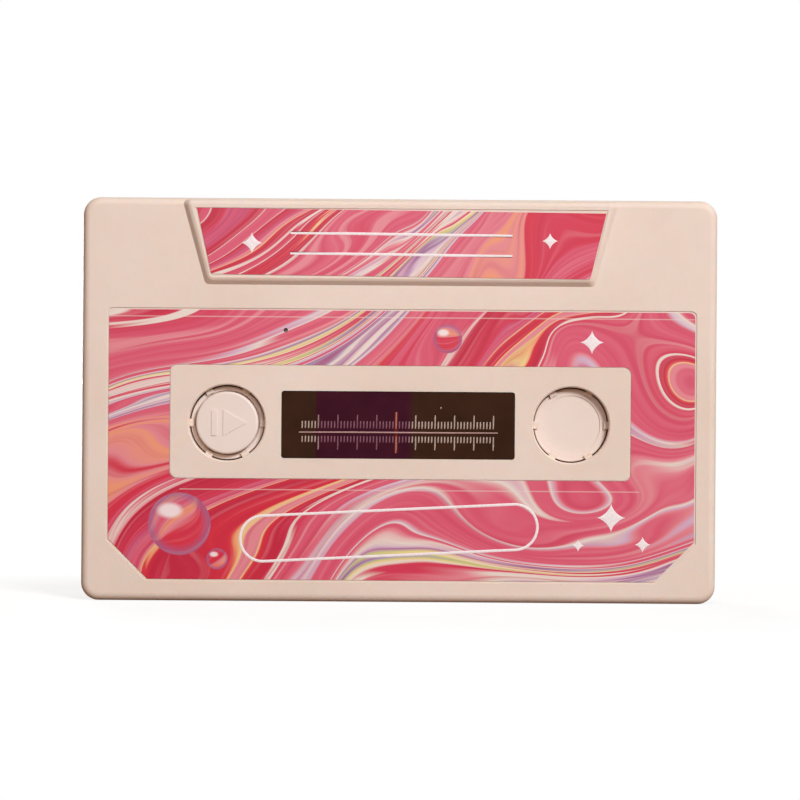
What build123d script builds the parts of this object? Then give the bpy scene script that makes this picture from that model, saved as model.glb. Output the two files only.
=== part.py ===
from build123d import *
import os

# Recordable greeting card in the shape of a compact cassette, standing on its long bottom edge.
# X runs to the right seen from the front, Y runs from front to back, Z runs up. Millimetres.
# Depths are counted backwards from the main front face.

# Overall case
case_width = 100.4
case_height = 63.8
case_corner = 2.8
front_edge_round = 1.25
side_wall = 1.6
front_wall = 1.5
rear_wall = 1.2
front_shell_depth = 6.3
rear_shell_depth = 3.3
parting_chamfer = 0.2
tongue_length = 1.2
tongue_thickness = 0.8
tongue_clearance = 0.05
cut_past = 1.0

# Title pad, the raised trapezoid at the top
pad_rise = 0.9
pad_root = 0.5
pad_slant = 43
pad_below_top = 0.35
pad_top_half = 33.6
pad_bottom_half = 30.1
pad_corner = 1.2
pad_top_corner = 0.8
pad_edge_round = 0.8

# Printed labels
film_thickness = 0.12
film_recess = 0.14
film_clearance = 0.1
seat_clearance = 0.28
title_top_margin = 1.95
title_bottom_margin = 0.55
title_top_side_margin = 0.88
title_bottom_side_margin = 0.38
title_corner = 0.4
title_turn = 0.45
title_shift = 0.15
label_side_margin = 3.9
label_shift = 0.4
label_bottom = 3.5
label_above_mic = 3.15
label_below_pad = 4.85
label_corner = 0.9
label_chamfer = 6.3

# Centre panel and window
panel_side_margin = 9.95
panel_shift = 0.2
panel_height = 17.85
panel_above_wells = 0.2
panel_corner = 1.2
window_beside_well = 8.825
window_height = 10.5
window_below_wells = 0.2
window_shift = -0.15
window_corner = 0.45
window_clearance = 0.08
window_step = 0.1
dial_film_thickness = 0.15
lens_flange = 1.1
lens_flange_thickness = 0.6
guide_side_margin = 3.4
guide_end_margin = 1.75
guide_thickness = 2.0
led_width = 3.0
led_height = 1.5
led_thickness = 0.6

# Wells and buttons
well_from_panel_end = 9.15
well_height = 28.2
well_radius = 6.0
well_edge_break = 0.2
well_collar_wall = 0.9
well_collar_length = 1.7
tooth_count = 6
tooth_width = 1.2
tooth_reach = 0.72
tooth_front = 1.2
tooth_back = 1.5
button_clearance = 0.2
button_front = 1.6
button_thickness = 0.8
button_edge_round = 0.15
cap_radius = 4.95
cap_front = 0.25
cap_round = 0.35
cap_moat_width = 0.2
cap_moat_depth = 0.4
dish_radius = 4.7
dish_depth = 0.15
icon_rise = 0.12
icon_half_height = 2.05
icon_bar_left = -2.45
icon_bar_right = -1.55
icon_triangle_left = -0.6
icon_triangle_tip = 3.1
stem_radius = 1.5
button_travel = 0.5
travel_spare = 0.1

# Switches under the buttons
switch_size = 4.5
switch_height = 1.6
switch_wall = 0.5
plunger_radius = 1.1
plunger_fit = 0.05
plunger_foot_radius = 1.5
plunger_foot_height = 0.25

# Circuit board
board_side_gap = 2.1
board_above_tray = 0.75
board_height = 22.0
board_corner = 1.0
board_thickness = 1.0
board_depth = 4.9
board_post_side_inset = 3.0
board_post_inset = 2.6
board_post_radius = 2.0
board_screw_radius = 0.7
board_screw_head_radius = 1.5
board_screw_head_height = 0.7
board_screw_length = 3.4
screw_hole_clearance = 0.05
chip_length = 10.0
chip_width = 6.0
chip_height = 1.6
chip_x = -8.0
memory_length = 5.2
memory_width = 6.2
memory_height = 1.4
memory_x = 8.0
small_part_length = 1.6
small_part_width = 0.8
small_part_height = 0.6
small_part_pitch = 3.1
small_part_count = 6
small_part_row_drop = 6.0

# Microphone
mic_x = -18.0
mic_above_board = 1.2
mic_hole_radius = 0.35
mic_radius = 2.0
mic_thickness = 1.5
boot_wall = 0.8
boot_front = 0.6
boot_length = 2.5
boot_hole_radius = 0.6

# Speaker
speaker_x = 24.0
speaker_above_board = 1.5
speaker_below_tongue = 0.95
speaker_rim_depth = 2.8
speaker_front_wall = 0.5
speaker_magnet_margin = 4.0
speaker_magnet_thickness = 1.4
speaker_gasket_width = 1.5
speaker_gasket_thickness = 0.3
speaker_ring_wall = 1.05
speaker_ring_length = 2.0
speaker_clearance = 0.15
cone_thickness = 0.25
cone_rise = 1.0
cone_dome_radius = 4.0
terminal_width = 4.6
terminal_height = 3.0
terminal_thickness = 0.3
grille_hole_radius = 0.75
grille_margin = 1.35
grille_rings = 2
holes_per_ring = 6

# Cells, tray and battery door
cell_radius = 5.8
cell_height = 5.4
cell_count = 3
cell_pitch = 12.2
tray_above_tongue = 0.2
cell_clearance = 0.15
cell_edge_round = 0.5
tray_wall = 0.8
tray_floor = 0.8
tray_corner = 1.5
tray_to_shell = 0.1
contact_thickness = 0.4
door_contact_thickness = 0.3
contact_radius = 3.2
door_overlap = 1.0
door_rim = 1.6
door_flange = 0.8
door_clearance = 0.1
door_ear_reach = 6.2
door_ear_half = 3.2
door_screw_inset = 2.9
door_screw_radius = 0.95
door_screw_head_radius = 1.75
door_screw_length = 4.2
door_boss_wall = 1.4

# Leads between the board, the speaker, the cells and the microphone
lead_radius = 0.3
lead_spread = 1.6
lead_bend = 0.6
lead_run_depth = 3.4
lead_back_run_depth = 7.2
lead_landing_inset = 2.0
battery_tab_height = 7.5
battery_tab_size = 2.4
battery_tab_thickness = 0.3
battery_lead_reach = 1.5
battery_lead_landing = 3.2

# Slide switch on the left edge
slide_below_board_middle = 0.85
slide_travel = 2.0
slide_middle_depth = 3.7
slide_body_length = 8.5
slide_body_depth = 3.6
slide_body_thickness = 2.4
slide_body_gap = 1.0
slide_lever_width = 1.5
slide_lever_thickness = 0.9
slide_lever_reach = 1.8
slide_clearance = 0.2
slide_cap_length = 3.2
slide_cap_width = 2.3
slide_cap_proud = 0.1
slide_recess_depth = 0.85
slide_recess_margin = 0.45
slide_cap_gap = 0.1
slide_rib_pitch = 1.9
slide_rib_width = 0.6
slide_rib_height = 0.25

# Case screws
screw_inset_x = 6.2
screw_inset_z = 6.0
screw_radius = 0.95
screw_head_radius = 1.9
screw_head_height = 1.0
screw_head_clearance = 0.2
screw_length = 6.0
screw_post_radius = 2.6
screw_cup_wall = 0.9
screw_cup_floor = 1.2
cross_width = 0.45
cross_share = 0.62
cross_depth = 0.5

# Rear lid, its hinge and its magnets
lid_gap = 0.2
lid_thickness = 2.0
lid_edge_round = 0.8
hinge_radius = 1.6
hinge_clearance = 0.25
hinge_end_margin = 3.0
knuckle_count = 5
knuckle_gap = 0.25
pin_radius = 0.6
pin_fit = 0.05
pin_seat_fit = 0.02
pin_blind = 1.0
hinge_backing_depth = 0.8
magnet_radius = 2.0
magnet_thickness = 1.0
magnet_clearance = 0.05
magnet_inset = 4.0
magnet_spread = 23.8
thumb_radius = 8.0
thumb_depth = 1.0
thumb_height = 1.3

# Message card kept inside the lid
card_hinge_margin = 9.7
card_end_margin = 5.9
card_beside_grille = 1.65
card_thickness = 0.3
card_corner = 2.0
card_clearance = 0.3
card_pocket_depth = 0.8
card_lip_size = 7.0
card_lip_thickness = 0.4

# Worked out from the sizes above
parting_depth = front_shell_depth
rear_face_depth = front_shell_depth + rear_shell_depth
rear_inner_depth = rear_face_depth - rear_wall
lid_inner_depth = rear_face_depth + lid_gap
lid_outer_depth = lid_inner_depth + lid_thickness
face_y = pad_rise - (pad_rise + lid_outer_depth) / 2
middle_height = case_height / 2
inner_half_width = case_width / 2 - side_wall
tongue_inset = side_wall + tongue_clearance + tongue_thickness
board_back_depth = board_depth + board_thickness
hinge_x = hinge_radius - case_width / 2
hinge_depth = lid_outer_depth - hinge_radius
hinge_length = case_height - 2 * hinge_end_margin
knuckle_length = hinge_length / knuckle_count
lens_front_depth = window_step + dial_film_thickness
lens_back_depth = front_wall + lens_flange_thickness
button_back_depth = button_front + button_thickness
switch_front_depth = board_depth - switch_height
plunger_front_depth = switch_front_depth - button_travel - travel_spare
speaker_back_depth = rear_inner_depth - speaker_gasket_thickness
speaker_front_depth = speaker_back_depth - speaker_rim_depth
cell_front_depth = front_wall + tray_floor + contact_thickness
cell_back_depth = cell_front_depth + cell_height
tray_half_width = (cell_count - 1) / 2 * cell_pitch + cell_radius + cell_clearance + tray_wall
tray_half_height = cell_radius + cell_clearance + tray_wall
cell_centre_height = tongue_inset + tray_above_tongue + tray_half_height
board_width = case_width - 2 * (side_wall + board_side_gap)
board_bottom = cell_centre_height + tray_half_height + board_above_tray
board_top = board_bottom + board_height
board_middle = board_bottom + board_height / 2
board_post_x = board_width / 2 - board_post_side_inset
slide_height = board_middle - slide_below_board_middle
mic_height = board_top + mic_above_board + mic_radius + boot_wall
label_width = case_width - 2 * label_side_margin
label_top = mic_height + label_above_mic
panel_width = label_width - 2 * panel_side_margin
panel_middle = well_height + panel_above_wells
pad_bottom = label_top + label_below_pad
pad_top = case_height - pad_below_top
pad_height = pad_top - pad_bottom
title_height = case_height - title_top_margin - title_bottom_margin - pad_bottom
pad_slope = (pad_top_half - pad_bottom_half) / pad_height
title_below_pad_top = title_top_margin - pad_below_top
title_top_half = pad_top_half - pad_slope * title_below_pad_top - title_top_side_margin
title_bottom_half = pad_bottom_half + pad_slope * title_bottom_margin - title_bottom_side_margin
well_spacing = panel_width - 2 * well_from_panel_end
window_width = well_spacing - 2 * window_beside_well
window_middle = well_height - window_below_wells
guide_width = window_width - 2 * guide_side_margin
guide_height = window_height - 2 * guide_end_margin
led_pitch = guide_width / 3
speaker_low = board_top + speaker_above_board
speaker_high = case_height - tongue_inset - speaker_below_tongue
speaker_radius = (speaker_high - speaker_low) / 2
speaker_height = (speaker_high + speaker_low) / 2
speaker_magnet_radius = speaker_radius - speaker_magnet_margin
grille_reach = speaker_radius - speaker_gasket_width - grille_margin
grille_pitch = (grille_reach - grille_hole_radius) / grille_rings
card_left = card_hinge_margin - case_width / 2
card_right = speaker_x - grille_reach - card_beside_grille
card_bottom = card_end_margin
card_top = case_height - card_end_margin
door_plug_half_width = tray_half_width - tray_wall
door_plug_half_height = tray_half_height - tray_wall
door_flange_half_width = door_plug_half_width + door_overlap
door_flange_half_height = door_plug_half_height + door_overlap
door_flange_depth = rear_face_depth - door_flange
door_screw_x = door_flange_half_width + door_ear_reach - door_screw_inset
tray_back_depth = rear_inner_depth - door_rim + tray_to_shell
pocket_floor_depth = lid_inner_depth + card_pocket_depth
screw_hole_front = rear_inner_depth - screw_length
screw_spots = [(sx * (case_width / 2 - screw_inset_x), z) for sx in (-1, 1)
               for z in (screw_inset_z, case_height - screw_inset_z)]
board_post_spots = [(sx * board_post_x, z) for sx in (-1, 1)
                    for z in (board_bottom + board_post_inset, board_top - board_post_inset)]
well_spots = [(-well_spacing / 2, well_height), (well_spacing / 2, well_height)]
magnet_spots = [(case_width / 2 - magnet_inset, middle_height + side * magnet_spread / 2)
                for side in (-1, 1)]
cell_xs = [(i - (cell_count - 1) / 2) * cell_pitch for i in range(cell_count)]


# Drawing helpers


def front_view(depth):
    # Plane at a depth behind the face, with X to the right and Z up
    return Plane.XZ.offset(-(face_y + depth))


def slab(sketch, near, far):
    # Solid of a front view outline between two depths
    return extrude(front_view(near) * sketch, amount=far - near, dir=(0, 1, 0))


def disc(x, z, radius, near, far):
    return slab(Pos(x, z) * Circle(radius), near, far)


def tube(x, z, outer, inner, near, far):
    return slab(Pos(x, z) * (Circle(outer) - Circle(inner)), near, far)


def cone(x, z, near_radius, far_radius, near, far):
    turned = Rot(-90, 0, 0) * Cone(near_radius, far_radius, far - near,
                                   align=(Align.CENTER, Align.CENTER, Align.MIN))
    return Pos(x, face_y + near, z) * turned


def outline(inset=0.0, corner=None):
    # The case outline, moved in by an inset
    radius = case_corner - inset if corner is None else corner
    return Pos(0, middle_height) * RectangleRounded(
        case_width - 2 * inset, case_height - 2 * inset, radius)


def area(left, right, bottom, top, corner):
    return Pos((left + right) / 2, (bottom + top) / 2) * RectangleRounded(
        right - left, top - bottom, corner)


def box(left, right, near, far, bottom, top):
    middle = Pos((left + right) / 2, face_y + (near + far) / 2, (bottom + top) / 2)
    return middle * Box(right - left, far - near, top - bottom)


def upright(x, depth, radius, bottom, top):
    # Round bar along Z
    place = Pos(x, face_y + depth, bottom)
    return place * Cylinder(radius, top - bottom, align=(Align.CENTER, Align.CENTER, Align.MIN))


def group(solids):
    return Compound(children=list(solids))


def lead(points):
    # Round wire through points given as X, depth, Z, with an arc at each corner
    route = [(x, face_y + depth, z) for x, depth, z in points]
    path = FilletPolyline(*route, radius=lead_bend)
    section = Plane(origin=path @ 0, z_dir=path % 0) * Circle(lead_radius)
    return sweep(section, path=path)


# Outlines shared by the pieces


def trapezoid(top_half, bottom_half, height):
    # Standing on its shorter side, with its middle at the origin
    top = height / 2
    corners = [(-top_half, top), (-bottom_half, -top), (bottom_half, -top), (top_half, top)]
    return make_face(Polyline(*corners, close=True))


def pad_crown():
    # Runs on past the pad's top, where a level cut ends it
    shape = trapezoid(pad_top_half + pad_slope * pad_rise, pad_bottom_half, pad_height + pad_rise)
    return Pos(0, (pad_bottom + pad_top + pad_rise) / 2) * shape


def title_outline():
    shape = trapezoid(title_top_half, title_bottom_half, title_height)
    return fillet(shape.vertices().sort_by(Axis.Y)[:2], title_corner)


def title_place():
    middle = case_height - title_top_margin - title_height / 2
    return Pos(title_shift, middle)


def title_seat():
    return title_place() * offset(title_outline(), amount=seat_clearance, kind=Kind.INTERSECTION)


def label_outline(grow=0.0):
    left = label_shift - label_width / 2 - grow
    right = label_shift + label_width / 2 + grow
    bottom = label_bottom - grow
    top = label_top + grow
    corners = [(left, bottom), (right, bottom), (right, top), (left, top)]
    shape = make_face(Polyline(*corners, close=True))
    low = shape.vertices().sort_by(Axis.Y)[:2]
    shape = chamfer(low, label_chamfer)
    high = shape.vertices().sort_by(Axis.Y)[-2:]
    return fillet(high, label_corner)


def panel_outline(grow=0.0):
    half = panel_width / 2 + grow
    half_height = panel_height / 2 + grow
    return area(panel_shift - half, panel_shift + half, panel_middle - half_height,
                panel_middle + half_height, panel_corner)


def window_outline(grow=0.0):
    half = window_width / 2 + grow
    half_height = window_height / 2 + grow
    return area(window_shift - half, window_shift + half, window_middle - half_height,
                window_middle + half_height, window_corner)


def door_outline(grow=0.0):
    half_height = door_flange_half_height + grow
    bottom = cell_centre_height - half_height
    top = cell_centre_height + half_height
    body = area(-door_flange_half_width - grow, door_flange_half_width + grow, bottom, top,
                tray_corner)
    ear_half = door_ear_half + grow
    ear = area(0, door_flange_half_width + door_ear_reach + grow, cell_centre_height - ear_half,
               cell_centre_height + ear_half, tray_corner)
    return body + ear


def grille():
    # Sound holes: one in the middle, and rings of six, twelve and so on round it
    spots = [Pos(speaker_x, speaker_height)]
    for ring in range(1, grille_rings + 1):
        for turn in range(holes_per_ring * ring):
            angle = turn * 360 / (holes_per_ring * ring)
            spots.append(Pos(speaker_x, speaker_height) * Rot(0, 0, angle) * Pos(ring * grille_pitch, 0))
    return Sketch() + [spot * Circle(grille_hole_radius) for spot in spots]


def knuckles(first):
    # Bottom and top of every second knuckle of the hinge, from the one numbered first
    spans = []
    for number in range(first, knuckle_count, 2):
        low = hinge_end_margin + number * knuckle_length
        spans.append((low, low + knuckle_length))
    return spans


# Casings


def well(x, z):
    # Collar and teeth of one hub well, which keep the button in
    collar = tube(x, z, well_radius + well_collar_wall, well_radius, front_wall,
                  front_wall + well_collar_length)
    ring = Circle(well_radius + well_collar_wall / 2) - Circle(well_radius - tooth_reach)
    bars = Sketch()
    for turn in range(tooth_count):
        bar = Pos(well_radius, 0) * Rectangle(2 * well_radius, tooth_width)
        bars += Rot(0, 0, turn * 360 / tooth_count) * bar
    teeth = slab(Pos(x, z) * (ring & bars), tooth_front, tooth_back)
    return collar + teeth


def title_pad():
    # Block that widens from its crown into the wall on three sides, and is upright at its top
    pad = extrude(front_view(-pad_rise) * pad_crown(), amount=pad_rise + pad_root, dir=(0, 1, 0),
                  taper=-pad_slant)
    pad = split(pad, Plane.XY.offset(pad_top), keep=Keep.BOTTOM)
    for side, radius in ((-1, pad_top_corner), (0, pad_corner)):
        face = pad.faces().sort_by(Axis.Z)[side]
        pad = fillet(face.edges().sort_by(SortBy.LENGTH)[:2], radius)
    return fillet(pad.faces().sort_by(Axis.Y)[0].edges(), pad_edge_round)


def front_shell():
    shell = slab(outline(), 0, parting_depth)
    shell = fillet(shell.faces().sort_by(Axis.Y)[0].edges(), front_edge_round)
    shell = chamfer(shell.faces().sort_by(Axis.Y)[-1].edges(), parting_chamfer)
    shell += title_pad()
    shell -= slab(outline(side_wall), front_wall, parting_depth + cut_past)
    shell -= slab(label_outline(seat_clearance) - panel_outline(), -cut_past, film_recess)
    shell -= slab(title_seat(), -pad_rise - cut_past, film_recess - pad_rise)
    shell -= slab(window_outline(window_clearance), -cut_past, front_wall + cut_past)
    shell -= disc(mic_x, mic_height, mic_hole_radius, -cut_past, front_wall + cut_past)
    for x, z in well_spots:
        shell -= disc(x, z, well_radius, -cut_past, front_wall + cut_past)
        shell -= cone(x, z, well_radius + well_edge_break, well_radius, 0, well_edge_break)
        shell += well(x, z)
    for x, z in screw_spots:
        shell += disc(x, z, screw_post_radius, front_wall, rear_inner_depth - screw_cup_floor)
        shell -= disc(x, z, screw_radius + screw_hole_clearance, screw_hole_front, rear_inner_depth)
    for x, z in board_post_spots:
        shell += disc(x, z, board_post_radius, front_wall, board_depth)
        shell -= disc(x, z, board_screw_radius + screw_hole_clearance,
                      board_back_depth - board_screw_length, board_depth + cut_past)
    return shell - slide_recess() - slide_slot()


def slide_span(reach):
    # Bottom and top of the space that a moving part of a given half length sweeps
    return slide_height - slide_travel - reach, slide_height + reach


def slide_recess():
    bottom, top = slide_span(slide_cap_length / 2 + slide_recess_margin)
    half = slide_cap_width / 2 + slide_recess_margin
    outside = -case_width / 2
    return box(outside - cut_past, outside + slide_recess_depth, slide_middle_depth - half,
               slide_middle_depth + half, bottom, top)


def slide_slot():
    bottom, top = slide_span(slide_lever_width / 2 + slide_clearance)
    half = slide_lever_thickness / 2 + slide_clearance
    return box(-case_width / 2, -inner_half_width + cut_past / 2, slide_middle_depth - half,
               slide_middle_depth + half, bottom, top)


def rear_shell():
    shell = slab(outline(), parting_depth, rear_face_depth)
    for end in (0, -1):
        shell = chamfer(shell.faces().sort_by(Axis.Y)[end].edges(), parting_chamfer)
    shell -= slab(outline(side_wall), parting_depth - cut_past, rear_inner_depth)
    tongue_outside = side_wall + tongue_clearance
    tongue = outline(tongue_outside, case_corner - side_wall) - outline(
        tongue_inset, case_corner - side_wall)
    shell += slab(tongue, parting_depth - tongue_length, rear_inner_depth)
    shell += box(-inner_half_width, hinge_x + hinge_radius + 2 * hinge_clearance,
                 rear_inner_depth - hinge_backing_depth, rear_inner_depth, side_wall,
                 case_height - side_wall)
    for x, z in screw_spots:
        cup_radius = screw_head_radius + screw_head_clearance + screw_cup_wall
        shell += disc(x, z, cup_radius, rear_inner_depth - screw_cup_floor, rear_face_depth)
        shell -= disc(x, z, screw_head_radius + screw_head_clearance, rear_inner_depth,
                      rear_face_depth + cut_past)
        shell -= disc(x, z, screw_radius + screw_hole_clearance, parting_depth, rear_face_depth)
    ring_inside = speaker_radius + speaker_clearance
    shell += tube(speaker_x, speaker_height, ring_inside + speaker_ring_wall, ring_inside,
                  rear_inner_depth - speaker_ring_length, rear_inner_depth)
    shell -= slab(grille(), rear_inner_depth - cut_past, rear_face_depth + cut_past)
    shell = battery_opening(shell)
    for x, z in magnet_spots:
        shell -= disc(x, z, magnet_radius + magnet_clearance, rear_face_depth - magnet_thickness,
                      rear_face_depth + cut_past)
    shell -= disc(case_width / 2 + thumb_radius - thumb_depth, middle_height, thumb_radius,
                  rear_face_depth - thumb_height, rear_face_depth + cut_past)
    return shell_hinge(shell)


def battery_opening(shell):
    # Stepped opening for the battery door, and the boss for its screw
    rim = slab(door_outline(tray_wall), rear_inner_depth - door_rim / 2, rear_face_depth)
    shell += rim
    boss_radius = door_screw_radius + door_boss_wall
    boss_front = door_flange_depth - door_screw_length
    shell += disc(door_screw_x, cell_centre_height, boss_radius, boss_front, door_flange_depth)
    shell -= slab(door_outline(door_clearance), door_flange_depth, rear_face_depth + cut_past)
    plug = door_plug_outline(door_clearance)
    shell -= slab(plug, rear_inner_depth - door_rim, rear_face_depth)
    shell -= disc(door_screw_x, cell_centre_height, door_screw_radius + screw_hole_clearance,
                  boss_front - cut_past, rear_face_depth)
    return shell


def door_plug_outline(grow=0.0):
    half_width = door_plug_half_width + grow
    half_height = door_plug_half_height + grow
    return area(-half_width, half_width, cell_centre_height - half_height,
                cell_centre_height + half_height, tray_corner)


def shell_hinge(shell):
    # Groove for the lid's knuckles, and the shell's own knuckles on their webs
    groove = upright(hinge_x, hinge_depth, hinge_radius + hinge_clearance, -cut_past,
                     case_height + cut_past)
    shell -= groove
    for low, high in knuckles(0):
        low += knuckle_gap / 2
        high -= knuckle_gap / 2
        web = box(hinge_x - hinge_radius, hinge_x + hinge_radius,
                  rear_inner_depth - hinge_backing_depth / 2, hinge_depth, low, high)
        shell += web + upright(hinge_x, hinge_depth, hinge_radius, low, high)
    bore = upright(hinge_x, hinge_depth, pin_radius + pin_seat_fit, hinge_end_margin + pin_blind,
                   case_height)
    return shell - bore


def rear_lid():
    lid = slab(outline(), lid_inner_depth, lid_outer_depth)
    lid = fillet(lid.faces().sort_by(Axis.Y)[-1].edges(), lid_edge_round)
    lid = chamfer(lid.faces().sort_by(Axis.Y)[0].edges(), parting_chamfer)
    lid -= box(-case_width, hinge_x, lid_inner_depth - cut_past, lid_outer_depth + cut_past,
               -cut_past, case_height + cut_past)
    for low, high in knuckles(0):
        reach = hinge_x + hinge_radius + hinge_clearance
        lid -= box(hinge_x - hinge_radius, reach, lid_inner_depth - cut_past,
                   lid_outer_depth + cut_past, low - knuckle_gap / 2, high + knuckle_gap / 2)
    for low, high in knuckles(1):
        lid += upright(hinge_x, hinge_depth, hinge_radius, low + knuckle_gap / 2,
                       high - knuckle_gap / 2)
    lid -= upright(hinge_x, hinge_depth, pin_radius + pin_fit, -cut_past, case_height + cut_past)
    lid -= slab(card_outline(card_clearance), lid_inner_depth - cut_past, pocket_floor_depth)
    lid += slab(card_lips(), lid_inner_depth, lid_inner_depth + card_lip_thickness)
    for x, z in magnet_spots:
        lid -= disc(x, z, magnet_radius + magnet_clearance, lid_inner_depth - cut_past,
                    lid_inner_depth + magnet_thickness)
    return lid - slab(grille(), lid_inner_depth - cut_past, lid_outer_depth + cut_past)


def card_outline(grow=0.0):
    return area(card_left - grow, card_right + grow, card_bottom - grow, card_top + grow,
                card_corner)


def card_lips():
    # A three-cornered lip over each corner of the message card
    lips = Sketch()
    for x, inward in ((card_left - card_clearance, 1), (card_right + card_clearance, -1)):
        for z, upward in ((card_bottom - card_clearance, 1), (card_top + card_clearance, -1)):
            corners = [(x, z), (x + inward * card_lip_size, z), (x, z + upward * card_lip_size)]
            lips += make_face(Polyline(*corners, close=True))
    return lips


def message_card():
    return slab(card_outline(), pocket_floor_depth - card_thickness, pocket_floor_depth)


def hinge_pin():
    top = case_height - hinge_end_margin - knuckle_gap / 2
    return upright(hinge_x, hinge_depth, pin_radius, hinge_end_margin + pin_blind, top)


def magnets(near):
    return group(disc(x, z, magnet_radius, near, near + magnet_thickness) for x, z in magnet_spots)


# Labels and window


def face_label():
    front = film_recess - film_thickness
    film = label_outline() - panel_outline(film_clearance)
    return slab(film - Pos(mic_x, mic_height) * Circle(mic_hole_radius), front, film_recess)


def title_label():
    # Stuck on by hand, a little off square in its seat
    back = film_recess - pad_rise
    return slab(title_place() * Rot(0, 0, -title_turn) * title_outline(), back - film_thickness, back)


def window_lens():
    lens = slab(window_outline(), lens_front_depth, front_wall)
    return lens + slab(window_outline(lens_flange), front_wall, lens_back_depth)


def dial_film():
    return slab(window_outline(), window_step, lens_front_depth)


def light_guide():
    guide = Pos(window_shift, window_middle) * RectangleRounded(guide_width, guide_height, window_corner)
    return slab(guide, lens_back_depth, lens_back_depth + guide_thickness)


def indicator_leds():
    leds = []
    for number in (-1, 0, 1):
        chip = Pos(window_shift + number * led_pitch, window_middle) * Rectangle(led_width, led_height)
        leds.append(slab(chip, board_depth - led_thickness, board_depth))
    return group(leds)


# Buttons and their switches


def button_base(x, z):
    # Disc behind the teeth, with the stem that meets the switch
    base = disc(x, z, well_radius - button_clearance, button_front, button_back_depth)
    base = fillet(base.faces().sort_by(Axis.Y)[0].edges(), button_edge_round)
    return base + disc(x, z, stem_radius, button_back_depth, plunger_front_depth)


def play_icon():
    # A bar and a triangle that points to the right
    bar = area(icon_bar_left, icon_bar_right, -icon_half_height, icon_half_height,
               (icon_bar_right - icon_bar_left) / 4)
    corners = [(icon_triangle_left, icon_half_height), (icon_triangle_left, -icon_half_height),
               (icon_triangle_tip, 0)]
    return bar + make_face(Polyline(*corners, close=True))


def play_button():
    x, z = well_spots[0]
    cap = disc(x, z, cap_radius, cap_front, button_front)
    cap = fillet(cap.faces().sort_by(Axis.Y)[0].edges(), cap_round)
    icon = slab(Pos(x, z) * play_icon(), cap_front - icon_rise, cap_front)
    moat = tube(x, z, cap_radius + cap_moat_width, cap_radius, button_front - cut_past,
                button_front + cap_moat_depth)
    return button_base(x, z) - moat + cap + icon


def record_button():
    x, z = well_spots[1]
    dish = disc(x, z, dish_radius, button_front - cut_past, button_front + dish_depth)
    return button_base(x, z) - dish


def switch_body(x, z):
    body = slab(Pos(x, z) * Rectangle(switch_size, switch_size), switch_front_depth, board_depth)
    cavity_front = switch_front_depth + switch_wall
    body -= disc(x, z, plunger_radius + plunger_fit, switch_front_depth - cut_past, cavity_front)
    room = plunger_foot_radius + 2 * plunger_fit
    return body - disc(x, z, room, cavity_front, board_depth - switch_wall / 2)


def switch_plunger(x, z):
    foot_front = switch_front_depth + switch_wall + travel_spare / 2
    foot_back = foot_front + plunger_foot_height
    rod = disc(x, z, plunger_radius, plunger_front_depth, foot_back)
    return rod + disc(x, z, plunger_foot_radius, foot_front, foot_back)


def slide_switch_body():
    left = -inner_half_width + slide_body_gap
    middle = slide_height - slide_travel / 2
    body = box(left, left + slide_body_depth, board_depth - slide_body_thickness, board_depth,
               middle - slide_body_length / 2, middle + slide_body_length / 2)
    bottom, top = slide_span(slide_lever_width / 2 + slide_clearance)
    half = slide_lever_thickness / 2 + slide_clearance
    return body - box(left - cut_past, left + slide_lever_reach + slide_clearance,
                      slide_middle_depth - half, slide_middle_depth + half, bottom, top)


def slide_switch_knob():
    # Lever, thumb cap and two grip ribs
    cap_inner = -case_width / 2 + slide_recess_depth - slide_cap_gap
    cap_outer = -case_width / 2 - slide_cap_proud + slide_rib_height
    lever_end = -inner_half_width + slide_body_gap + slide_lever_reach
    lever = box(cap_inner, lever_end, slide_middle_depth - slide_lever_thickness / 2,
                slide_middle_depth + slide_lever_thickness / 2,
                slide_height - slide_lever_width / 2, slide_height + slide_lever_width / 2)
    knob = lever + box(cap_outer, cap_inner, slide_middle_depth - slide_cap_width / 2,
                       slide_middle_depth + slide_cap_width / 2,
                       slide_height - slide_cap_length / 2, slide_height + slide_cap_length / 2)
    for side in (-1, 1):
        z = slide_height + side * slide_rib_pitch / 2
        knob += box(cap_outer - slide_rib_height, cap_outer,
                    slide_middle_depth - slide_cap_width / 2,
                    slide_middle_depth + slide_cap_width / 2,
                    z - slide_rib_width / 2, z + slide_rib_width / 2)
    return knob


# Circuit board


def main_pcb():
    board = area(-board_width / 2, board_width / 2, board_bottom, board_top, board_corner)
    for x, z in board_post_spots:
        board -= Pos(x, z) * Circle(board_screw_radius + screw_hole_clearance)
    return slab(board, board_depth, board_back_depth)


def back_chip(x, z, length, width, height):
    chip = Pos(x, z) * Rectangle(length, width)
    return slab(chip, board_back_depth, board_back_depth + height)


def sound_chip():
    return back_chip(chip_x, board_middle, chip_length, chip_width, chip_height)


def memory_chip():
    return back_chip(memory_x, board_middle, memory_length, memory_width, memory_height)


def small_components():
    # Two rows of resistors and capacitors, above and below the chips
    parts = []
    for side in (-1, 1):
        for number in range(small_part_count):
            x = (number - (small_part_count - 1) / 2) * small_part_pitch
            z = board_middle + side * small_part_row_drop
            parts.append(back_chip(x, z, small_part_length, small_part_width, small_part_height))
    return group(parts)


def cross(head_radius):
    # Outline of the driver's cross in a screw head
    size = 2 * head_radius * cross_share
    return Rectangle(size, cross_width) + Rectangle(cross_width, size)


def recessed_screw(x, z, radius, head_radius, head_height, seat, length):
    # Pan head screw from behind, with its head's underside at the seat depth
    head = disc(x, z, head_radius, seat, seat + head_height)
    head -= slab(Pos(x, z) * cross(head_radius), seat + head_height - cross_depth,
                 seat + head_height + cut_past)
    return head + disc(x, z, radius, seat - length, seat)


def case_screws():
    return group(recessed_screw(x, z, screw_radius, screw_head_radius, screw_head_height,
                                rear_inner_depth, screw_length - screw_hole_clearance)
                 for x, z in screw_spots)


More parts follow.
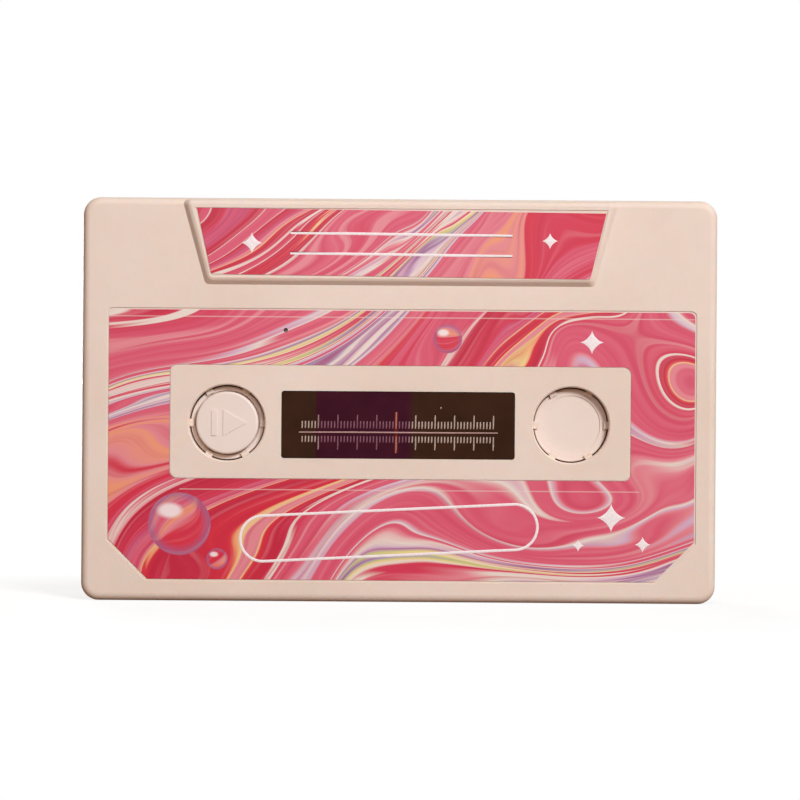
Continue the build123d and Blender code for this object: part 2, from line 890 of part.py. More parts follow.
def pcb_screws():
    return group(recessed_screw(x, z, board_screw_radius, board_screw_head_radius,
                                board_screw_head_height, board_back_depth,
                                board_screw_length - screw_hole_clearance)
                 for x, z in board_post_spots)


# Microphone and speaker


def mic_capsule():
    front = front_wall + boot_front
    return disc(mic_x, mic_height, mic_radius, front, front + mic_thickness)


def mic_boot():
    boot = disc(mic_x, mic_height, mic_radius + boot_wall, front_wall, front_wall + boot_length)
    boot -= disc(mic_x, mic_height, mic_radius, front_wall + boot_front, front_wall + boot_length)
    return boot - disc(mic_x, mic_height, boot_hole_radius, front_wall, front_wall + boot_front)


def speaker_frame():
    frame = disc(speaker_x, speaker_height, speaker_radius, speaker_front_depth, speaker_back_depth)
    frame -= disc(speaker_x, speaker_height, speaker_radius - speaker_gasket_width,
                  speaker_front_depth + speaker_front_wall, speaker_back_depth)
    low = speaker_height - speaker_radius
    tab = box(speaker_x - terminal_width / 2, speaker_x + terminal_width / 2,
              speaker_front_depth - terminal_thickness, speaker_front_depth, low + lead_radius,
              low + lead_radius + terminal_height)
    return frame + tab


def speaker_magnet():
    return disc(speaker_x, speaker_height, speaker_magnet_radius,
                speaker_front_depth - speaker_magnet_thickness, speaker_front_depth)


def speaker_cone():
    # Thin turned membrane: flat surround, slope and centre dome
    edge = speaker_radius - speaker_gasket_width
    profile = [(0, cone_rise), (cone_dome_radius, 0), (edge, 0), (edge, cone_thickness),
               (cone_dome_radius, cone_thickness), (0, cone_rise + cone_thickness)]
    section = make_face(Plane.XZ * Polyline(*profile, close=True))
    turned = revolve(section, axis=Axis.Z)
    back = speaker_back_depth - cone_rise - 2 * cone_thickness
    return Pos(speaker_x, face_y + back, speaker_height) * Rot(-90, 0, 0) * turned


def speaker_gasket():
    return tube(speaker_x, speaker_height, speaker_radius, speaker_radius - speaker_gasket_width,
                speaker_back_depth, rear_inner_depth)


# Cells and battery door


def tray_outline(inset=0.0):
    return area(inset - tray_half_width, tray_half_width - inset,
                cell_centre_height - tray_half_height + inset,
                cell_centre_height + tray_half_height - inset, tray_corner)


def battery_tray():
    tray = slab(tray_outline(), front_wall, tray_back_depth)
    for x in cell_xs:
        tray -= disc(x, cell_centre_height, cell_radius + cell_clearance, front_wall + tray_floor,
                     tray_back_depth)
    left = -tray_half_width
    tab = box(left - battery_tab_thickness, left, lead_run_depth - battery_tab_size / 2,
              lead_run_depth + battery_tab_size / 2, battery_tab_height - battery_tab_size / 2,
              battery_tab_height + battery_tab_size / 2 + lead_spread)
    return tray + tab


def button_cells():
    cells = []
    for x in cell_xs:
        cell = disc(x, cell_centre_height, cell_radius, cell_front_depth, cell_back_depth)
        cells.append(fillet(cell.edges(), cell_edge_round))
    return group(cells)


def tray_contacts():
    floor = front_wall + tray_floor
    return group(disc(x, cell_centre_height, contact_radius, floor, floor + contact_thickness)
                 for x in cell_xs)


def door_contacts():
    back = cell_back_depth + door_contact_thickness
    return group(disc(x, cell_centre_height, contact_radius, cell_back_depth, back) for x in cell_xs)


def battery_door():
    door = slab(door_outline(), door_flange_depth, rear_face_depth)
    door += slab(door_plug_outline(), cell_back_depth + door_contact_thickness, door_flange_depth)
    return door - door_screw_head(door_clearance)


def door_screw_head(grow=0.0):
    # Cone of the battery door's countersunk screw, wide at the back
    return cone(door_screw_x, cell_centre_height, door_screw_radius + grow,
                door_screw_head_radius + grow, door_flange_depth, rear_face_depth)


def battery_door_screw():
    x, z = door_screw_x, cell_centre_height
    head = door_screw_head()
    head -= slab(Pos(x, z) * cross(door_screw_head_radius), rear_face_depth - cross_depth,
                 rear_face_depth + cut_past)
    return head + disc(x, z, door_screw_radius, door_flange_depth - door_screw_length,
                       door_flange_depth)


# Leads


def lead_pair(route):
    # Two leads side by side; the route is a function of the sideways shift
    return group(lead(route(side * lead_spread / 2)) for side in (-1, 1))


def speaker_leads():
    start = speaker_front_depth - terminal_thickness
    high = speaker_height - speaker_radius + lead_radius + terminal_height / 2
    low = board_top - lead_landing_inset

    def route(shift):
        x = speaker_x + shift
        return [(x, start, high), (x, lead_run_depth, high), (x, lead_run_depth, low),
                (x, board_depth, low)]

    return lead_pair(route)


def mic_leads():
    start = front_wall + boot_front + mic_thickness
    low = board_top - lead_landing_inset

    def route(shift):
        x = mic_x + shift
        return [(x, start, mic_height), (x, lead_back_run_depth, mic_height),
                (x, lead_back_run_depth, low), (x, board_back_depth, low)]

    return lead_pair(route)


def battery_leads():
    start = -tray_half_width - battery_tab_thickness
    high = board_bottom + battery_lead_landing

    def route(shift):
        # The upper lead turns up nearer to the tray, so that the two never cross
        x = start - battery_lead_reach - lead_spread / 2 + shift
        z = battery_tab_height + lead_spread / 2 + shift
        return [(start, lead_run_depth, z), (x, lead_run_depth, z), (x, lead_run_depth, high),
                (x, board_depth, high)]

    return lead_pair(route)


# Every piece, by node name


def pieces():
    return {
        "front_shell": front_shell(),
        "rear_shell": rear_shell(),
        "rear_lid": rear_lid(),
        "hinge_pin": hinge_pin(),
        "case_magnets": magnets(rear_face_depth - magnet_thickness),
        "lid_magnets": magnets(lid_inner_depth),
        "message_card": message_card(),
        "face_label": face_label(),
        "title_label": title_label(),
        "window_lens": window_lens(),
        "dial_film": dial_film(),
        "light_guide": light_guide(),
        "indicator_leds": indicator_leds(),
        "play_button": play_button(),
        "record_button": record_button(),
        "play_switch_body": switch_body(*well_spots[0]),
        "record_switch_body": switch_body(*well_spots[1]),
        "play_switch_plunger": switch_plunger(*well_spots[0]),
        "record_switch_plunger": switch_plunger(*well_spots[1]),
        "slide_switch_body": slide_switch_body(),
        "slide_switch_knob": slide_switch_knob(),
        "main_pcb": main_pcb(),
        "sound_chip": sound_chip(),
        "memory_chip": memory_chip(),
        "small_components": small_components(),
        "case_screws": case_screws(),
        "pcb_screws": pcb_screws(),
        "mic_capsule": mic_capsule(),
        "mic_boot": mic_boot(),
        "mic_leads": mic_leads(),
        "speaker_frame": speaker_frame(),
        "speaker_magnet": speaker_magnet(),
        "speaker_cone": speaker_cone(),
        "speaker_gasket": speaker_gasket(),
        "speaker_leads": speaker_leads(),
        "battery_tray": battery_tray(),
        "button_cells": button_cells(),
        "tray_contacts": tray_contacts(),
        "door_contacts": door_contacts(),
        "battery_door": battery_door(),
        "battery_door_screw": battery_door_screw(),
        "battery_leads": battery_leads(),
    }


os.makedirs("parts", exist_ok=True)
for node, piece in pieces().items():
    export_step(piece, f"parts/{node}.step")
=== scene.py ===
import math

import bpy
import numpy as np
from mathutils import Matrix, Vector


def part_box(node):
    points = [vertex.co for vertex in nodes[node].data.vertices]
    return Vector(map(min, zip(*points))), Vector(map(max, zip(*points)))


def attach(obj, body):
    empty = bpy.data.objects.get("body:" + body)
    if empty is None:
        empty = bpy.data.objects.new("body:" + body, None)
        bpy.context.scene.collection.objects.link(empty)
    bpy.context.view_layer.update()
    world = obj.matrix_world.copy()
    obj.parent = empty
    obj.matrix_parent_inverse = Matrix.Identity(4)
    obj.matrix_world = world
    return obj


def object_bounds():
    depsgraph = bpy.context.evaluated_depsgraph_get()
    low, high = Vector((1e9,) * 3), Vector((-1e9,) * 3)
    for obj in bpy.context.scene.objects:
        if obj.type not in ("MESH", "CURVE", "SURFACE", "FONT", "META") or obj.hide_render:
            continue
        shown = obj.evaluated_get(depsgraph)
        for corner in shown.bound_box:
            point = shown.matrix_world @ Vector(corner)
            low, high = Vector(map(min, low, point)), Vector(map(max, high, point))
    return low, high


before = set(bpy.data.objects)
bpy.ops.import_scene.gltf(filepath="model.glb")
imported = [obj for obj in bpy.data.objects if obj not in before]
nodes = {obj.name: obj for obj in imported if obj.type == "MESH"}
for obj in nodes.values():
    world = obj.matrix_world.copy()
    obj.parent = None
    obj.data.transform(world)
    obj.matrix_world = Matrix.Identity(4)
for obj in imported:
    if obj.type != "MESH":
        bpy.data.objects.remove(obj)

cad_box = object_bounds()
MM = 0.001

# The photograph's view: scale at the card's face, the card's middle and its small turn
PHOTO_SIDE = 800
PIXELS_PER_MM = 6.33
PHOTO_MIDDLE = (399.2, 400.6)
PHOTO_TURN = math.radians(0.41)
SENSOR = 36 * MM
LENS = 110 * MM

# Lamps: the share of full brightness in red, green and blue that each gives the face it lights, where it
# hangs from the card's middle and how wide it is, in metres
KEY_SHARE = (0.645, 0.70, 0.74)
KEY_PLACE = Vector((0.66, -1.12, 0.72))
KEY_SIZE = 0.40
TOP_SHARE = (0.14, 0.155, 0.17)
TOP_PLACE = Vector((-0.01, -0.14, 0.06))
TOP_SIZE = 0.06
REAR_SHARE = (0.74, 0.76, 0.77)
REAR_PLACE = Vector((-0.34, 0.86, 0.16))
REAR_SIZE = 0.30

# Sky: its two colours, the direction in which it is brightest, and the stretch, measured along that
# direction, over which one turns into the other
SKY_DIM = (0.26, 0.12, 0.05, 1.0)
SKY_BRIGHT = (0.30, 0.27, 0.24, 1.0)
SKY_BRIGHTEST = (0.60, 0.0, 0.80)
SKY_FADE = (-0.5, 0.6)

# What gloss sees round the card: a dim grey in front of it, which turns white over a stretch behind it
FRONT_GLOSS = 0.14
REAR_GLOSS = (0.5, 1.0)
FLOOR_GLOSS = 0.14
FLOOR_GLOSS_REACH = (0.05, 0.5)

# Floor: how brightly it glows to the eye, what it throws back on the card, how far it lies below the card
# and its inmost and outmost ring in metres, the oval round the card in which it keeps its own tone, the
# shares of that oval over which it fades to white, its two tones and the size of their change
FLOOR_GLOW = 0.78
FLOOR_BOUNCE = (0.24, 0.14, 0.09, 1.0)
FLOOR_DROP = 0.02 * MM
FLOOR_RADII = (0.05, 6.0)
FLOOR_RINGS = 24
FLOOR_SPOKES = 96
FLOOR_OVAL = (0.075, 0.045)
FLOOR_FADE = (0.75, 1.5)
FLOOR_DARK = (0.23, 0.225, 0.22, 1.0)
FLOOR_LIGHT = (0.26, 0.255, 0.25, 1.0)
FLOOR_MOTTLE = 40.0
WHITE = (1.0, 1.0, 1.0, 1.0)

# Dial scale on the window's film, in millimetres from the card's middle and from its base
DIAL_LINE_Z = 26.85
DIAL_LINE_X = (-15.8, 15.6)
TICK_COUNT = 60
TICK_FIRST_X = -15.3
TICK_PITCH = 0.512
TICK_MAJOR_START = 5
TICK_MAJOR_STEP = 6
TICK_NEEDLE = 29
TICK_WIDTH = 0.22
LINE_WIDTH = 0.22
TICK_GAP = 0.62
TICK_MINOR_UP = 1.75
TICK_MINOR_DOWN = 1.6
TICK_MAJOR = 2.75
NEEDLE_REACH = 3.25
NEEDLE_WIDTH = 0.24
SPECK = (6.6, 30.8)
SPECK_HALF = 0.12
SPECK_TURN = 45.0
INK_THICKNESS = 0.04

# Tinted zone of the film: its two ends, how soft each is on the film and on its ink, and the painted glow
# beside the needle, which begins and ends at two distances from it and falls from one strength to the other
TINTED_ZONE_X = (-13.1, 1.9)
ZONE_LEFT_ON_FILM = (-0.15, 0.15)
ZONE_RIGHT_ON_FILM = (-0.6, 0.6)
ZONE_LEFT_ON_INK = (0.2, 0.5)
ZONE_RIGHT_ON_INK = (-0.6, 0.2)
PAINTED_NEEDLE_GLOW = (0.1, 0.4, 0.8, 0.0)

# Marbled print: length in millimetres over which its row of inks repeats, and the first row's share of it
INK_PERIOD = 58.0
FIRST_ROW_SHARE = 0.74
LABEL_STRAND_TURN = math.radians(32)
LABEL_SHEET = 19.0
LABEL_SEAMS = [(45.0, -60.0, 60.0), (17.7, -34.6, 38.0)]
TITLE_STRAND_TURN = math.radians(24)
TITLE_SHEET = 123.0

# Plain marks on the labels, in millimetres from the card's middle and from its base
TITLE_TURN = -0.45
TITLE_RULE_Z = (58.1, 54.9)
TITLE_RULE_HALF = 17.5
RULE_WIDTH = 0.42
FIELD_MIDDLE = (-1.5, 11.0)
FIELD_HALF = (23.5, 3.6)
FIELD_TURN = 3.0
SPARKS = [(30.4, 41.3, 1.9), (33.6, 13.6, 2.3), (38.6, 9.4, 1.3), (28.4, 9.2, 1.0)]
TITLE_SPARKS = [(-23.4, 56.6, 1.7), (23.6, 57.2, 1.3)]
BEAD_SHEET_STEP = 9.0
BEADS = [(-34.6, 12.2, 5.0), (-28.6, 6.7, 1.7), (7.6, 41.7, 2.3)]

# Ruled lines on the card inside the lid, in millimetres
CARD_RULES = 6
CARD_RULE_PITCH = 7.0
CARD_RULE_INSET = 7.0
CARD_RULE_WIDTH = 0.3

# Points of the meshes of ink: across a stroke's or a ring's line, round a ring, round a spark, and the
# shares of its size at which a spark has points
LINE_POINTS = 5
RING_POINTS = 72
SPARK_POINTS = 32
SPARK_REACH = (0.35, 0.7, 0.9, 1.0)

# How far red, green and blue light wander under the skin of the case's plastic, in millimetres
GLOW_REACH = (0.7, 0.3, 0.15)

# The stretch where nearly all of a noise lies, within its range from 0 to 1, and that of the sum of two
NOISE = (0.3, 0.7)
TWO_NOISES = (0.7, 1.3)

# Moulded plastic: waves a millimetre of the slow and the cloudy change, how far each one and the grain swing
# the tone, where on the slow change the tint goes from warm to cool, and how far gloss swings
MOULD_SLOW = 0.045
MOULD_CLOUD = 0.5
MOULD_SLOW_TONE = (0.965, 1.03)
MOULD_CLOUD_TONE = (-0.008, 0.008)
MOULD_GRAIN_TONE = (-0.012, 0.012)
MOULD_TINT_EDGE = (0.35, 0.65)
MOULD_WARM = (1.0, 0.988, 0.972, 1.0)
MOULD_COOL = (0.99, 1.0, 1.012, 1.0)
MOULD_GLOSS = (-0.03, 0.03)

# Marbled print: waves a millimetre along and across its bands, threads and hairs, how many millimetres the
# first two shift the strands, the stretches of the hairs that turn pale and dark, the laminate's roughness
# and waviness, and how far from a score line's middle it fades, with its strength
BANDS = (0.006, 1.0, 0.16)
BAND_SHIFT = 16.0
THREADS = (0.012, 1.0, 0.7)
THREAD_SHIFT = 4.0
HAIRS = (0.03, 1.0, 1.6)
PALE_HAIRS = (0.52, 0.72)
DARK_HAIRS = (0.48, 0.28)
HAIR_STRENGTH = 0.5
LAMINATE_ROUGHNESS = (0.38, 0.46)
LAMINATE_WAVES = 1.6
LAMINATE_DEPTH = 0.003
SEAM_EDGE = (0.05, 0.13)
SEAM_STRENGTH = 0.42

# Printed beads, in shares of a bead's radius: how far its middle draws the marbling in, where its glow, rim
# and window of light begin and end with how strong each is, and the window's place and its shape
BEAD_DRAW = 1.4
BEAD_GLOW = (-0.1, -0.9, 0.0, 0.55)
BEAD_RIM = (0.62, 1.0, 0.0, 0.75)
BEAD_EDGE = (1.0, 0.97)
BEAD_LIGHT = (0.5, 1.1, 0.85, 0.0)
BEAD_LIGHT_PLACE = (-0.30, 0.0, 0.42)
BEAD_LIGHT_SHAPE = (2.2, 0.0, 3.6)

# Metal and paper: waves a millimetre of each pattern, and how far tone and roughness swing
BRUSH_LINES = (0.4, 9.0, 9.0)
BRUSH_SLOW = 0.35
METAL_TONE = (0.86, 1.1)
METAL_ROUGHNESS = (0.22, 0.4)
FIBRE_LENGTHWAYS = (1.2, 1.0, 7.0)
FIBRE_CROSSWAYS = (7.0, 1.0, 1.2)
PAPER_MOTTLE = 0.25
PAPER_SUM = (0.8, 1.3)
PAPER_TONE = (0.93, 1.03)
PAPER_DEPTH = 0.01

# Films, inks and clear plastic: waves a millimetre of each pattern, and how far tone and roughness swing
FILM_SMOKE = 0.25
FILM_ROUGHNESS = (0.1, 0.18)
SCALE_INK_WEAR = 2.2
SCALE_INK_ROUGHNESS = (0.45, 0.6)
INK_BODY = 2.4
INK_SWING = 0.05
FLOW_MARKS = 0.4
FLOW_TONE = 0.92
FLOW_GLOSS = 0.04

# Circuit board, in millimetres: block in which tracks run one way, the waves a millimetre that choose the
# way, the layer that holds the whole board, half the tracks' pitch, the part of it that is track and fades,
# the pitch of the pads, their radius and how strongly they show
BOARD_BLOCK = 3.0
BOARD_BLOCK_NOISE = 0.37
BOARD_LAYER = 50.0
TRACK_HALF_PITCH = 0.55
TRACK_EDGE = (0.16, 0.22)
TRACK_DEPTH = 0.02
PAD_PITCH = 2.0
PAD_RADIUS = 0.4
PAD_STRENGTH = 0.4
MASK_WAVES = 1.5
MASK_ROUGHNESS = (0.28, 0.4)


def srgb(red, green, blue):
    """A colour given in 0 to 255 screen values, as the linear colour that a shader takes."""
    shares = np.array([red, green, blue]) / 255
    linear = np.where(shares <= 0.04045, shares / 12.92, ((shares + 0.055) / 1.055) ** 2.4)
    return (*linear.tolist(), 1.0)


# Camera and lamps


def add_camera():
    """Long lens square to the face, turned and shifted by the few pixels that the photograph is."""
    face_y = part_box("face_label")[0].y
    mm_across = PHOTO_SIDE / PIXELS_PER_MM
    distance = mm_across * MM * LENS / SENSOR
    right = (PHOTO_SIDE / 2 - PHOTO_MIDDLE[0]) / PIXELS_PER_MM * MM
    up = (PHOTO_MIDDLE[1] - PHOTO_SIDE / 2) / PIXELS_PER_MM * MM
    middle_z = (cad_box[0][2] + cad_box[1][2]) / 2
    data = bpy.data.cameras.new("camera")
    data.lens = LENS / MM
    data.sensor_width = SENSOR / MM
    data.clip_start = distance / 100
    data.clip_end = distance * 100
    camera = bpy.data.objects.new("camera", data)
    level = Matrix.Rotation(math.radians(90), 4, "X")
    turned = Matrix.Rotation(-PHOTO_TURN, 4, "Y")
    camera.matrix_world = Matrix.Translation((right, face_y - distance, middle_z + up)) @ turned @ level
    bpy.context.scene.collection.objects.link(camera)
    bpy.context.scene.camera = camera


def add_lamp(name, place, size, share):
    """Soft square lamp that faces the card; its power gives the face turned to it the named share of full
    brightness: share x pi^2 x distance^2 / cosine of the angle at the face."""
    middle = Vector((0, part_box("face_label")[0].y, (cad_box[0][2] + cad_box[1][2]) / 2))
    slant = abs(place.normalized().y)
    data = bpy.data.lights.new(name, "AREA")
    data.shape = "SQUARE"
    data.size = size
    data.energy = max(share) * math.pi ** 2 * place.length ** 2 / slant
    data.color = [part / max(share) for part in share]
    lamp = bpy.data.objects.new(name, data)
    lamp.location = middle + place
    lamp.rotation_euler = place.to_track_quat("Z", "Y").to_euler()
    bpy.context.scene.collection.objects.link(lamp)


# Short ways of writing shader nodes


class Graph:
    """Writes nodes into a shader tree. A method adds one node and gives back the socket it puts out."""

    def __init__(self, tree):
        self.tree = tree

    def node(self, kind, **settings):
        made = self.tree.nodes.new("ShaderNode" + kind)
        for name, value in settings.items():
            setattr(made, name, value)
        return made

    def feed(self, socket, value):
        if isinstance(value, bpy.types.NodeSocket):
            self.tree.links.new(value, socket)
        else:
            socket.default_value = value

    def math(self, operation, *values, clamp=False):
        made = self.node("Math", operation=operation, use_clamp=clamp)
        for socket, value in zip(made.inputs, values):
            self.feed(socket, value)
        return made.outputs[0]

    def vector(self, operation, *values, scale=None, out="Vector"):
        made = self.node("VectorMath", operation=operation)
        for socket, value in zip(made.inputs, values):
            self.feed(socket, value)
        if scale is not None:
            self.feed(made.inputs["Scale"], scale)
        return made.outputs[out]

    def split(self, vector):
        made = self.node("SeparateXYZ")
        self.feed(made.inputs[0], vector)
        return made.outputs

    def join(self, x, y, z):
        made = self.node("CombineXYZ")
        for socket, value in zip(made.inputs, (x, y, z)):
            self.feed(socket, value)
        return made.outputs[0]

    def noise(self, vector, scale, detail=2.0, roughness=0.5, out="Fac"):
        made = self.node("TexNoise")
        self.feed(made.inputs["Vector"], vector)
        self.feed(made.inputs["Scale"], scale)
        made.inputs["Detail"].default_value = detail
        made.inputs["Roughness"].default_value = roughness
        return made.outputs[out]

    def blend(self, factor, first, second, kind="MIX"):
        made = self.node("Mix", data_type="RGBA", blend_type=kind)
        self.feed(made.inputs[0], factor)
        self.feed(made.inputs[6], first)
        self.feed(made.inputs[7], second)
        return made.outputs[2]

    def span(self, value, low, high, to_low=0.0, to_high=1.0, smooth=False):
        made = self.node("MapRange", interpolation_type="SMOOTHSTEP" if smooth else "LINEAR")
        for socket, number in zip(made.inputs, (value, low, high, to_low, to_high)):
            self.feed(socket, number)
        return made.outputs[0]

    def ramp(self, value, stops):
        """Colour ramp through (place, colour) stops."""
        made = self.node("ValToRGB")
        bar = made.color_ramp
        while len(bar.elements) < len(stops):
            bar.elements.new(0.5)
        for element, (place, colour) in zip(bar.elements, stops):
            element.position = place
            element.color = colour
        self.feed(made.inputs[0], value)
        return made.outputs[0]

    def place(self):
        """Position on the piece in millimetres."""
        return self.vector("SCALE", self.node("TexCoord").outputs["Object"], scale=1 / MM)

    def bump(self, height, depth):
        """Normal of a relief whose height runs from 0 to 1 over a depth in millimetres."""
        made = self.node("Bump")
        made.inputs["Strength"].default_value = 1.0
        made.inputs["Distance"].default_value = depth * MM
        self.feed(made.inputs["Height"], height)
        return made.outputs[0]

    def use(self, group, **values):
        """Place an effect; its inputs are given by name, and its outputs come back."""
        made = self.node("Group", node_tree=group)
        for name, value in values.items():
            self.feed(made.inputs[name], value)
        return made.outputs


def effect(name, inputs, outputs):
    """New shader node group with named inputs and outputs, as a Graph with its two ends."""
    tree = bpy.data.node_groups.new(name, "ShaderNodeTree")
    for title, kind, value in inputs:
        socket = tree.interface.new_socket(name=title, in_out="INPUT", socket_type=kind)
        socket.default_value = value
    for title, kind in outputs:
        tree.interface.new_socket(name=title, in_out="OUTPUT", socket_type=kind)
    graph = Graph(tree)
    graph.given = tree.nodes.new("NodeGroupInput").outputs
    graph.result = tree.nodes.new("NodeGroupOutput").inputs
    return graph


VECTOR = "NodeSocketVector"
FLOAT = "NodeSocketFloat"
COLOUR = "NodeSocketColor"
GREY = (0.5, 0.5, 0.5, 1.0)


# Effects that several finishes share


def make_moulding():
    """Moulded plastic: slow changes of tone over the part and a fine spark-eroded grain."""
    g = effect("moulding",
               [("Position", VECTOR, (0, 0, 0)), ("Colour", COLOUR, GREY), ("Grain", FLOAT, 5.0)],
               [("Colour", COLOUR), ("Roughness", FLOAT), ("Height", FLOAT)])
    position = g.given["Position"]
    slow = g.noise(position, MOULD_SLOW, detail=3.0)
    cloud = g.noise(position, MOULD_CLOUD, detail=2.0)
    grain = g.noise(position, g.given["Grain"], detail=3.0, roughness=0.6)
    level = g.math("ADD", g.span(slow, *NOISE, *MOULD_SLOW_TONE), g.span(cloud, *NOISE, *MOULD_CLOUD_TONE))
    level = g.math("ADD", level, g.span(grain, *NOISE, *MOULD_GRAIN_TONE))
    tint = g.blend(g.span(slow, *MOULD_TINT_EDGE), MOULD_WARM, MOULD_COOL)
    tinted = g.blend(1.0, g.given["Colour"], tint, kind="MULTIPLY")
    g.feed(g.result["Colour"], g.vector("SCALE", tinted, scale=level))
    g.feed(g.result["Roughness"], g.span(g.math("ADD", cloud, grain), *TWO_NOISES, *MOULD_GLOSS))
    g.feed(g.result["Height"], grain)
    return g.tree


def make_marbling():
    """Marbled ink: level strands are pushed aside by three swirls, from a wide one to a narrow one, each
    longer along the strands than across them. The height of the pushed strands, uneven by slow bands and
    fine threads, runs through a long row of inks and then a short row, over and over."""
    g = effect("marbling",
               [("Position", VECTOR, (0, 0, 0)), ("Turn", FLOAT, 0.0), ("Sheet", FLOAT, 0.0)],
               [("Colour", COLOUR), ("Strand", FLOAT)])
    turned = g.node("VectorRotate", rotation_type="Y_AXIS")
    g.feed(turned.inputs["Vector"], g.given["Position"])
    g.feed(turned.inputs["Angle"], g.given["Turn"])
    along, _, across = g.split(turned.outputs[0])
    place = g.join(along, g.given["Sheet"], across)
    for spread, reach in SWIRLS:
        swirl = g.noise(g.vector("MULTIPLY", place, spread), 1.0, detail=0.0, out="Color")
        swirl = g.vector("SUBTRACT", swirl, (0.5, 0.5, 0.5))
        place = g.vector("ADD", place, g.vector("MULTIPLY", swirl, reach))
    bands = g.noise(g.vector("MULTIPLY", place, BANDS), 1.0, detail=0.0)
    threads = g.noise(g.vector("MULTIPLY", place, THREADS), 1.0, detail=1.0)
    hairs = g.noise(g.vector("MULTIPLY", place, HAIRS), 1.0, detail=2.0)
    _, _, height = g.split(place)
    height = g.math("ADD", height, g.span(bands, 0.0, 1.0, -BAND_SHIFT, BAND_SHIFT))
    height = g.math("ADD", height, g.span(threads, 0.0, 1.0, -THREAD_SHIFT, THREAD_SHIFT))
    turn = g.math("FRACT", g.math("DIVIDE", height, INK_PERIOD))
    first = g.ramp(g.span(turn, 0.0, FIRST_ROW_SHARE), FIRST_ROW)
    second = g.ramp(g.span(turn, FIRST_ROW_SHARE, 1.0), SECOND_ROW)
    colour = g.blend(g.math("GREATER_THAN", turn, FIRST_ROW_SHARE), first, second)
    colour = g.blend(g.span(hairs, *PALE_HAIRS, 0.0, HAIR_STRENGTH), colour, ROSE)
    colour = g.blend(g.span(hairs, *DARK_HAIRS, 0.0, HAIR_STRENGTH), colour, CRIMSON)
    g.feed(g.result["Colour"], colour)
    g.feed(g.result["Strand"], hairs)
    return g.tree


def make_brushing():
    """Brushed or drawn metal: fine lines along the part and a slow change of polish."""
    g = effect("brushing", [("Position", VECTOR, (0, 0, 0)), ("Colour", COLOUR, GREY)],
               [("Colour", COLOUR), ("Roughness", FLOAT), ("Height", FLOAT)])
    lines = g.noise(g.vector("MULTIPLY", g.given["Position"], BRUSH_LINES), 1.0, detail=3.0)
    slow = g.noise(g.given["Position"], BRUSH_SLOW, detail=2.0)
    level = g.span(g.math("ADD", lines, slow), *TWO_NOISES, *METAL_TONE)
    g.feed(g.result["Colour"], g.vector("SCALE", g.given["Colour"], scale=level))
    g.feed(g.result["Roughness"], g.span(lines, *NOISE, *METAL_ROUGHNESS))
    g.feed(g.result["Height"], lines)
    return g.tree


def make_fibres():
    """Paper: short crossed fibres and a faint mottle."""
    g = effect("fibres", [("Position", VECTOR, (0, 0, 0)), ("Colour", COLOUR, GREY)],
               [("Colour", COLOUR), ("Height", FLOAT)])
    along = g.noise(g.vector("MULTIPLY", g.given["Position"], FIBRE_LENGTHWAYS), 1.0, detail=3.0)
    across = g.noise(g.vector("MULTIPLY", g.given["Position"], FIBRE_CROSSWAYS), 1.0, detail=3.0)
    fibres = g.math("MAXIMUM", along, across)
    mottle = g.noise(g.given["Position"], PAPER_MOTTLE, detail=3.0)
    level = g.span(g.math("ADD", fibres, mottle), *PAPER_SUM, *PAPER_TONE)
    g.feed(g.result["Colour"], g.vector("SCALE", g.given["Colour"], scale=level))
    g.feed(g.result["Height"], fibres)
    return g.tree


# Inks of the marbled print, as screen colours, and the two rows that they lie in
PINK = srgb(216, 84, 107)
ROSE = srgb(224, 130, 137)
HOT_PINK = srgb(210, 54, 80)
CRIMSON = srgb(192, 30, 58)
RED = srgb(212, 40, 58)
MAGENTA = srgb(199, 74, 108)
CREAM = srgb(230, 210, 196)
YELLOW = srgb(234, 206, 136)
ORANGE = srgb(236, 148, 104)
LILAC = srgb(207, 165, 186)
HAZE = srgb(180, 156, 176)
PLUM = srgb(152, 94, 134)
OLIVE = srgb(190, 188, 124)
PALE = srgb(242, 226, 222)
FIRST_ROW = [
    (0.000, PINK), (0.075, PINK), (0.085, ROSE), (0.110, ROSE), (0.118, PINK), (0.165, HOT_PINK),
    (0.172, CREAM), (0.190, CREAM), (0.198, HOT_PINK), (0.230, CRIMSON), (0.300, RED), (0.308, ORANGE),
    (0.322, YELLOW), (0.330, ROSE), (0.372, ROSE), (0.385, PINK), (0.470, MAGENTA), (0.480, HOT_PINK),
    (0.545, CRIMSON), (0.580, CRIMSON), (0.590, ROSE), (0.605, CREAM), (0.615, PINK), (0.680, PINK),
    (0.690, HOT_PINK), (0.760, RED), (0.775, ROSE), (0.800, ORANGE), (0.815, ROSE), (0.900, PINK),
    (1.000, PINK)]
SECOND_ROW = [
    (0.00, PINK), (0.05, LILAC), (0.10, CREAM), (0.14, HAZE), (0.17, PLUM), (0.20, LILAC),
    (0.24, CREAM), (0.30, CREAM), (0.33, ROSE), (0.38, HOT_PINK), (0.42, HOT_PINK), (0.45, CREAM),
    (0.50, YELLOW), (0.54, OLIVE), (0.57, HAZE), (0.60, PLUM), (0.64, LILAC), (0.70, CREAM),
    (0.75, ROSE), (0.80, PINK), (0.86, PINK), (0.89, CREAM), (0.93, LILAC), (0.96, ROSE), (1.00, PINK)]
# Swirls of the print: how fast each changes along and across the strands, and how far it pushes them
SWIRLS = [((0.013, 1.0, 0.022), (50.0, 0.0, 66.0)),
          ((0.024, 1.0, 0.052), (30.0, 0.0, 26.0)),
          ((0.050, 1.0, 0.140), (10.0, 0.0, 9.0))]


# Finishes


